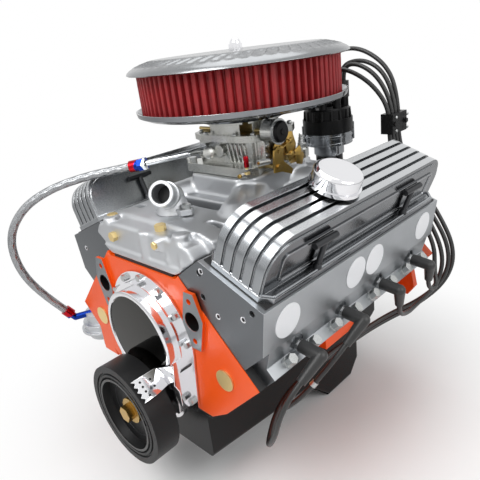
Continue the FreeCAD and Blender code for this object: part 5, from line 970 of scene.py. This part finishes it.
@dataclass
class AirCleaner:
    """The pleated element and the fluted lid, both turned about the carburettor's middle."""

    pleats: int = 84
    pleat_depth_mm: float = 7.0
    pleat_points: int = 6
    bulge_mm: float = 1.2
    tab_share: float = 0.62
    wall_mm: float = 20.0
    flutes: int = 54
    flute_columns: int = 8
    flute_depth_mm: float = 3.0
    flute_twist: float = 0.9

    def build(self) -> None:
        """Makes the element and the lid."""
        self._element()
        self._lid()

    def _element(self) -> None:
        """Folds the red gauze: flat tabs outside, narrow valleys between them."""
        low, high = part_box("air_filter_element")
        outer = (high[0] - low[0]) / 2
        bm = bmesh.new()
        rings = [bmesh.ops.create_circle(bm, segments=self.pleats * self.pleat_points,
                                         radius=radius)["verts"]
                 for radius in (outer, outer - self.wall_mm * MM)]
        for vert in rings[0]:
            fold = (math.atan2(vert.co.y, vert.co.x) / TURN * self.pleats) % 1.0
            sunk = self.pleat_depth_mm
            if fold <= self.tab_share:
                sunk = (1 - math.sin(fold / self.tab_share * math.pi)) * self.bulge_mm
            vert.co.xy *= (outer - sunk * MM) / outer
        bmesh.ops.bridge_loops(bm, edges=list(bm.edges))
        grow(bm, list(bm.faces), Vector((0, 0, high[2] - low[2])))
        bmesh.ops.recalc_face_normals(bm, faces=bm.faces)
        foot = axis_of("air_filter_element") + UP * low[2]
        bmesh.ops.translate(bm, vec=foot, verts=bm.verts)
        piece = Shape(bm).finish("air_filter_pleats", RED_GAUZE, "red_pleats")
        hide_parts("air_filter_element")

    def _lid(self) -> None:
        """Spins the lid and cuts the slanted scallops into its sloped rim."""
        low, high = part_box("air_cleaner_lid")
        rim = (high[0] - low[0]) / 2 / MM
        top = high[2] / MM
        # The section's points are laid off from the rim inwards and from the top down.
        slope = [(rim - 46 + 3.2 * k, top - 0.1 - 7.4 * (k / 10) ** 1.6) for k in range(11)]
        profile = [(4, top), (40, top - 0.3), (90, top - 0.3), (rim - 50, top), (rim - 48, top)]
        profile += slope + [(rim - 11, top - 9.5), (rim - 6, top - 12), (rim - 2, top - 15),
                            (rim, top - 18.5), (rim - 2.5, top - 20), (rim - 13, top - 15),
                            (rim - 37, top - 14.8), (rim - 47, top - 3), (4, top - 3)]
        lid = Shape().lathe(profile, Matrix.Identity(4), self.flutes * self.flute_columns)
        start, end, underside = rim - 45.5, rim - 13.5, top - 13
        for vert in lid.bm.verts:
            reach = vert.co.xy.length / MM
            if vert.co.z / MM < underside or not start <= reach <= end:
                continue
            along = (reach - start) / (end - start)
            turn = math.atan2(vert.co.y, vert.co.x) / TURN * self.flutes
            fold = (turn + self.flute_twist * along) % 1.0
            scoop = math.sin(fold * math.pi) * min(1.0, 4 * along, 4 * (1 - along) + 0.2)
            vert.co.z -= self.flute_depth_mm * scoop * MM
        bmesh.ops.translate(lid.bm, vec=axis_of("air_cleaner_stud"), verts=lid.bm.verts)
        piece = lid.finish("air_cleaner_fluted_lid", LID_ALLOY, "polished_alloy")
        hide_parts("air_cleaner_lid")


@dataclass
class Carburettor:
    """The carburettor's screws, pump, choke cover, caps and its gold linkage."""

    side: float = 78.0
    face: float = -320.0
    lid_top: float = 385.2
    linkage_x: float = 82.2
    choke_at: Point = (100, -290, 388)

    def build(self) -> None:
        """Makes the small pieces on the carburettor."""
        self._screws()
        self._castings()
        self._choke_cover()
        self._linkage()
        self._caps()

    def _screws(self) -> None:
        """Screws round the air horn and on the float bowls."""
        screws = Shape()
        # Round the air horn's lid, then on the side of the bowls, then on their front face.
        for x, y in ((-62, -308), (-34, -322), (34, -322), (62, -308), (72, -284), (72, -238),
                     (54, -206), (-54, -206), (-72, -238), (-72, -284)):
            screws.screw(vec((x, y, self.lid_top)), UP, 4.2, 3.6, turn=x * 3 + y)
        for z in (350, 366):
            for y in (-296, -264, -236):
                screws.screw(vec((self.side, y, z)), RIGHT, 3.4, 2.6, turn=y)
        for x in (-40, -14, 14, 40):
            screws.screw(vec((x, self.face, 351)), FRONT, 3.4, 2.6, turn=x * 5)
        screws.finish("carburettor_screws", ZINC, "zinc_steel")

    @staticmethod
    def _castings() -> None:
        """Cast webs, the accelerator pump's barrel and round plugs on the bodies."""
        cast = Shape()
        for k in range(5):
            x = 20 + 9.5 * k
            cast.rod(vec((x, -321.5, 341)), vec((x, -325.5, 372)), 2.6, 10)
        pump_end = vec((-16, -337, 358))
        cast.rod(vec((-46, -322, 352)), pump_end, 9, 24)
        cast.lathe([(0, 0), (11, 0), (11, 3), (8, 4.5), (0, 4.5)],
                   pose(pump_end, Vector((0.87, -0.44, 0.17))), 24)
        # Round plugs, the two pillars and the vacuum nipple's stub.
        for start, end, radius, sides in (
                ((2, -320, 360), (2, -331, 360), 10.5, 24),
                ((74, -256, 357), (82, -256, 357), 10, 24),
                ((66, -300, 338), (66, -300, 385), 5.5, 14),
                ((66, -226, 338), (66, -226, 385), 5.5, 14),
                ((-70, -336, 323.5), (-70, -336, 345), 6, 14)):
            cast.rod(vec(start), vec(end), radius, sides)
        cast.finish("carburettor_bosses", CARB_ALLOY, "gold_casting")

    def _choke_cover(self) -> None:
        """The choke's black cover with its clamp ring and three screws."""
        centre = vec(self.choke_at)
        cover = Shape().lathe([(0, 0), (17, 0), (17, 6), (14, 9), (5, 9.5), (5, 11), (0, 11)],
                              pose(centre, RIGHT), 40)
        cover.finish("choke_cover", CAP_PLASTIC, "black_plastic")
        clamp = Shape().lathe([(15.5, 0.2), (20.5, 0.2), (20.5, 2.2), (17.6, 2.2), (17.6, 4),
                               (15.5, 4)], pose(centre, RIGHT), 40)
        for turn in (30, 150, 270):
            a = math.radians(turn)
            spot = centre + Vector((2.2, 18.6 * math.cos(a), 18.6 * math.sin(a))) * MM
            clamp.screw(spot, RIGHT, 2.6, 2, turn)
        clamp.finish("choke_clamp", ZINC, "zinc_steel")

    def _linkage(self) -> None:
        """Gold cams, levers, rods, pins and the return springs on the throttle side."""
        x, gold = self.linkage_x, Shape()
        # The cams' outlines, as y and z, from the inmost plate to the outmost.
        cams = (((-282, 338), (-262, 336), (-254, 352), (-262, 372), (-276, 376), (-286, 360)),
                ((-252, 330), (-238, 334), (-232, 356), (-240, 378), (-254, 380), (-258, 356)),
                ((-236, 322), (-222, 318), (-216, 334), (-226, 352), (-240, 346)))
        for outline, at in zip(cams, (x, x + 2.6, x + 5.0)):
            gold.plate([vec((at, y, z)) for y, z in outline], vec((2.2, 0, 0)))
        # Pins with their nuts, then the rods that join them.
        for y, z in ((-272, 356), (-246, 364), (-228, 336), (-246, 342)):
            gold.rod(vec((x - 4, y, z)), vec((x + 7.4, y, z)), 3.1, 14)
            gold.hexagon(vec((x + 4.4, y, z)), RIGHT, 9, 2.6, turn=y)
        for start, end in (((-272, 356), (-246, 364)), ((-246, 364), (-272, 376)),
                           ((-228, 336), (-262, 344))):
            gold.rod(vec((x + 5.6, *start)), vec((x + 5.6, *end)), 1.7, 10)
        gold.rod(vec((64, -334, 328)), vec((64, -352, 328)), 3.4, 12)
        gold.rod(vec((84, -300, 342)), vec((84, -326, 344.6)), 2.6, 12)
        gold.finish("throttle_linkage", GOLD_DIP, "gold_casting")
        springs = Shape()
        # Each spring's start, its way and its length.
        for at, way, length in (((84, -300, 342), (0, -1, 0.1), 26),
                                ((64, -338, 328), (0, -1, 0), 11),
                                ((84.6, -222, 340), (0, 0.35, 1), 30)):
            springs.spring(vec(at), Vector(way).normalized(), length)
        springs.finish("linkage_springs", ZINC, "zinc_steel")

    @staticmethod
    def _caps() -> None:
        """The red vacuum cap and the brass nipple under it."""
        cap = Shape().lathe([(0, 0), (4.2, 0), (4.2, 16), (3.2, 18), (0, 18)],
                            pose(vec((70, -338, 341)), Vector((0.1, -0.1, 1))), 18)
        cap.finish("red_vacuum_cap", RED_ANODISED, "anodised_fittings")
        nipple = Shape().lathe([(0, 0), (5, 0), (5, 4), (3, 5), (3, 12), (0, 12)],
                               pose(vec((70, -338, 329)), UP), 18)
        nipple.finish("vacuum_nipple", BRASS, "brass")


@dataclass
class Distributor:
    """The distributor cap's ribs, the housing's bands and clips, and its neck."""

    ribs: int = 16
    clip_turns: tuple[float, ...] = (40, 220)

    def build(self) -> None:
        """Makes the ribs, the bands and the neck."""
        centre = axis_of("distributor_shaft")

        def spot(turn: float, radius: float, height: float) -> Vector:
            """A point round the distributor's axis."""
            way = Vector((math.cos(turn), math.sin(turn), 0))
            return centre + way * radius * MM + UP * height * MM

        place = Matrix.Translation(centre)
        ribs = Shape()
        for k in range(self.ribs):
            turn = TURN * k / self.ribs
            ribs.rod(spot(turn, 47.2, 340), spot(turn, 43.6, 381), 2.6, 8)
        ribs.lathe([(41, 381.2), (44.2, 381.2), (42, 385), (30, 387.5), (26, 387.5), (26, 382)],
                   place)
        ribs.finish("distributor_ribs", CAP_PLASTIC, "black_plastic")
        bands = Shape()
        for z in (314.5, 328.5):
            bands.lathe(band(45, 47.4, z, z + 5), place, 56)
        for turn in map(math.radians, self.clip_turns):
            bands.rod(spot(turn, 48.6, 318), spot(turn, 48.6, 352), 3.0, 8)
        bands.finish("distributor_bands", POLISHED, "polished_alloy")
        neck = Shape().lathe(band(24.4, 27, 262, 290), place, 40)
        neck.finish("distributor_neck", BLACK_ENAMEL, "black_paint")


@dataclass
class ValveCovers:
    """The recessed side panels and the flange beads of the valve covers."""

    rail_mm: tuple[float, float] = (194.7, 243.95)
    half_width: float = 42.0
    panel_long: float = 392.0
    panel_low: float = 17.0
    panel_high: float = 62.0
    corner_mm: float = 9.0
    frame_mm: float = 3.5
    frame_high_mm: float = 2.4
    sunk_mm: float = 2.0
    flange_half: tuple[float, float] = (52.5, 222.5)
    flange_corner: float = 13.0
    bead_up: float = 10.2
    bead_mm: float = 2.4

    def rail(self, side: int, out: float, y: float, up: float) -> Vector:
        """A point in a cover's own frame, in metres: outwards, along the engine and upwards."""
        return vec((side * (self.rail_mm[0] + LEAN_COS * out + LEAN_SIN * up), y,
                    self.rail_mm[1] - LEAN_SIN * out + LEAN_COS * up))

    def build(self) -> None:
        """Makes both covers' panels and beads."""
        for side, name in ((1, "left"), (-1, "right")):
            middle = axis_of("valve_cover_" + name).y / MM
            self._panel(side, name, middle)
            self._bead(side, name, middle)

    def _panel(self, side: int, name: str, middle: float) -> None:
        """A raised frame round a sunk mirror panel on the cover's outer side."""
        bm = bmesh.new()
        half = self.panel_long / 2
        bm.faces.new([bm.verts.new(self.rail(side, self.half_width + 0.02, middle + y, z))
                      for y, z in ((-half, self.panel_low), (half, self.panel_low),
                                   (half, self.panel_high), (-half, self.panel_high))])
        bmesh.ops.bevel(bm, geom=list(bm.verts), offset=self.corner_mm * MM, segments=5,
                        profile=0.5, affect="VERTICES", material=-1)
        out = (self.rail(side, 1, 0, 0) - self.rail(side, 0, 0, 0)).normalized()
        top, _ = grow(bm, list(bm.faces), out * self.frame_high_mm * MM)
        for wide in (self.frame_mm, 1.0):
            bmesh.ops.inset_region(bm, faces=top, thickness=wide * MM, use_even_offset=True)
        sunk = {v for f in top for v in f.verts}
        bmesh.ops.translate(bm, vec=out * -self.sunk_mm * MM, verts=list(sunk))
        bmesh.ops.recalc_face_normals(bm, faces=bm.faces)
        Shape(bm).finish("cover_panel_" + name, SIDE_MIRROR, "polished_alloy")

    def _bead(self, side: int, name: str, middle: float) -> None:
        """The rounded lip that runs round the cover's flange."""
        (width, half), corner = self.flange_half, self.flange_corner
        path = [(-width, corner - half), (corner - width, -half), (width - corner, -half),
                (width, corner - half), (width, half - corner), (width - corner, half),
                (corner - width, half), (-width, half - corner)]
        spots = [self.rail(side, out, middle + y, self.bead_up) for out, y in path]
        bead = Shape()
        for a, b in zip(spots, spots[1:] + spots[:1]):
            bead.rod(a, b, self.bead_mm, 10)
        bead.finish("cover_bead_" + name, POLISHED, "polished_alloy")


@dataclass
class HeadDetails:
    """Threaded holes in the cylinder heads' front and rear ends."""

    hole_mm: float = 4.6
    bore_mm: float = 2.8
    spots_mm: tuple[tuple[float, float], ...] = ((144, 253), (122, 203), (214, 203), (166, 192))

    def build(self) -> None:
        """Makes a bright chamfer and, as painted shade, a dark disc in each threaded hole."""
        rings, holes = Shape(), Shape()
        rim = [(self.bore_mm, 0), (self.hole_mm, 0), (self.hole_mm, 0.5), (self.bore_mm, 0.15)]
        for side, name in ((1, "left"), (-1, "right")):
            for end, way in zip(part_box("cylinder_head_" + name), (FRONT, -FRONT)):
                for x, z in self.spots_mm:
                    place = pose(Vector((side * x * MM, end[1], z * MM)), way)
                    rings.lathe(rim, place, 20)
                    # Painted shade: a thin dark disc in the mouth of each threaded hole.
                    holes.lathe(band(0, self.bore_mm, 0, 0.12), place, 20)
        rings.finish("head_hole_chamfers", CHROME, "machined_alloy")
        holes.finish("head_holes_painted_shade", BLACK_IRON_AND_SHADE, "black_iron")


@dataclass
class FrontEnd:
    """The timing cover's disc and ring, its tab's scale, and the water passages' mouths."""

    disc_at: Point = (0, -550.0, 114.8)
    port_at: Point = (115, -526.0, 170)
    outlet_at: Point = (17.98, -471.96, 329.98)
    outlet_way: Point = (0.45, -0.80, 0.40)
    well_mm: float = -24.0
    flange_y: float = -554.6
    sheet_mm: float = 1.6
    scale_lean: float = 50.0
    scale_reach: float = 88.5

    def build(self) -> None:
        """Makes the cover's ring and disc, the tab, the water ports and the outlet's mouth, with
        painted shade inside the ports and the outlet.
        """
        place = pose(vec(self.disc_at), FRONT)
        ring = Shape().lathe([(70.5, 0), (78.6, -0.4), (79.4, 1.4), (77, 2.6), (72, 2.4)], place,
                             96)
        ring.finish("timing_cover_ring", CHROME, "chrome_plate")
        # Painted reflection: the disc's chrome is painted dark.
        disc = Shape().lathe([(0, 0), (71, 0), (71, 0.7), (0, 0.9)], place, 96)
        disc.finish("timing_cover_face", CHROME_PAINTED_DARK, "chrome_plate")
        self._tab()
        well, floor = self.well_mm, self.well_mm + 1
        ports = Shape()
        for side in (1, -1):
            x, y, z = self.port_at
            place = pose(vec((side * x, y, z)), FRONT)
            # Painted shade over the iron's own dark colour: a near-black lining and floor deep in
            # each water port.
            ports.lathe(band(14.4, 16.4, well, -0.3), place, 40)
            ports.lathe(band(0, 15.0, well, floor), place, 40)
        ports.finish("water_passage_shade", BLACK_IRON_AND_SHADE, "black_iron")
        place = pose(vec(self.outlet_at), Vector(self.outlet_way).normalized())
        bead = Shape().lathe([(15.2, -3.5), (19, -3.5), (20.4, -2.2), (20.4, -0.8), (19, 0.2),
                              (15.2, 0.2)], place)
        bead.finish("outlet_bead", CAST_ALLOY, "machined_alloy")
        shadow = Shape().lathe(band(0, 14.9, well, floor), place, 40)
        shadow.finish("outlet_shadow", BLACK_IRON_AND_SHADE, "black_iron")

    def _tab(self) -> None:
        """The timing tab: a foot on the cover's flange and a scale that lies over the damper."""
        a = math.radians(self.scale_lean)
        out, around = Vector((math.cos(a), 0, math.sin(a))), Vector((-math.sin(a), 0, math.cos(a)))

        def spot(t: float, y: float) -> Vector:
            """A point on the scale: across the lean and along the engine."""
            return (out * self.scale_reach + around * t) * MM + Vector((0, y * MM, 0))

        # The scale's saw edge, then the foot that goes round the cover's flange.
        teeth = [(19 - 4.6 * k, -602 + 5 * (k % 2)) for k in range(9)]
        outline = [(-14, -556), (18, -556), (19, -562), *teeth, (-17, -575)]
        foot = [vec((x, self.flange_y, z))
                for x, z in ((93, 104), (86, 66), (97, 60), (97, 34), (88, 34), (80, 56))]
        tab = Shape().plate([spot(t, y) for t, y in outline], out * self.sheet_mm * MM)
        tab.plate([spot(18, self.flange_y), *foot, spot(-14, self.flange_y)],
                  FRONT * self.sheet_mm * MM)
        piece = tab.finish("timing_scale", CHROME, "chrome_plate")
        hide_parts("timing_tab")
        holes = Shape()
        for t, y in ((12, -590), (4, -590), (-4, -590), (-12, -588), (8, -574), (-4, -574)):
            holes.lathe(band(0, 1.9, 0, 0.3), pose(spot(t, y) + out * self.sheet_mm * MM, out), 12)
        holes.finish("timing_scale_holes", BLACK_IRON_AND_SHADE, "black_iron")


@dataclass
class DamperTrim:
    """The rubber ring and the hub's step on the turning damper."""

    face_at: Point = (0, -604.0, 0)

    def build(self) -> None:
        """Makes the damper's rubber ring and its hub's step."""
        place = pose(vec(self.face_at), FRONT)
        ring = Shape().lathe(band(59.5, 63.5, 0, 0.6), place, 96)
        ring.finish("damper_rubber_ring", RUBBER, "black_rubber", Body.CRANK)
        step = Shape().lathe(band(46.0, 47.6, -17.95, -17.0), place, 72)
        step.finish("damper_hub_step", DARK_STEEL, "dark_steel", Body.CRANK)


@dataclass
class LeadFittings:
    """The screws of the leads' loom and the bright clip on a lead below the heads."""

    inset_m: float = 0.006
    clip_lead: str = "lead_3"
    clip_share: float = 0.55

    def build(self) -> None:
        """Makes the loom's screws and the clip."""
        low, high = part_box("lead_loom")
        screws = Shape()
        for z in (low[2] + self.inset_m, high[2] - self.inset_m):
            for y in (low[1] + self.inset_m, high[1] - self.inset_m):
                screws.screw(Vector((high[0], y, z)), RIGHT, 2.8, 2.0)
        screws.finish("loom_screws", ZINC, "zinc_steel")
        route = next(cord.route for cord in CORDS if cord.node == self.clip_lead)
        start, end = vec(route[1]), vec(route[2])
        place = pose(start.lerp(end, self.clip_share), (end - start).normalized())
        clip = Shape().lathe(band(3.9, 5.4, -4, 4), place, 20)
        clip.finish("lead_clip", ZINC, "zinc_steel")


def main() -> None:
    """Builds the whole scene around the frame."""
    logging.basicConfig(level=logging.INFO, format="%(message)s")
    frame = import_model()
    stage = Stage()
    stage.camera()
    for cord in CORDS:
        cord.lay([])
    stage.floor(min(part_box("oil_pan")[0][2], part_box("vibration_damper")[0][2]))
    stage.light()
    dress(frame["nodes"])
    for assembly in (IntakeCasting(frame["nodes"]["intake_manifold"]), AirCleaner(),
                     Carburettor(), Distributor(), ValveCovers(), HeadDetails(), FrontEnd(),
                     DamperTrim(), LeadFittings()):
        assembly.build()


if __name__ == "__main__":
    main()
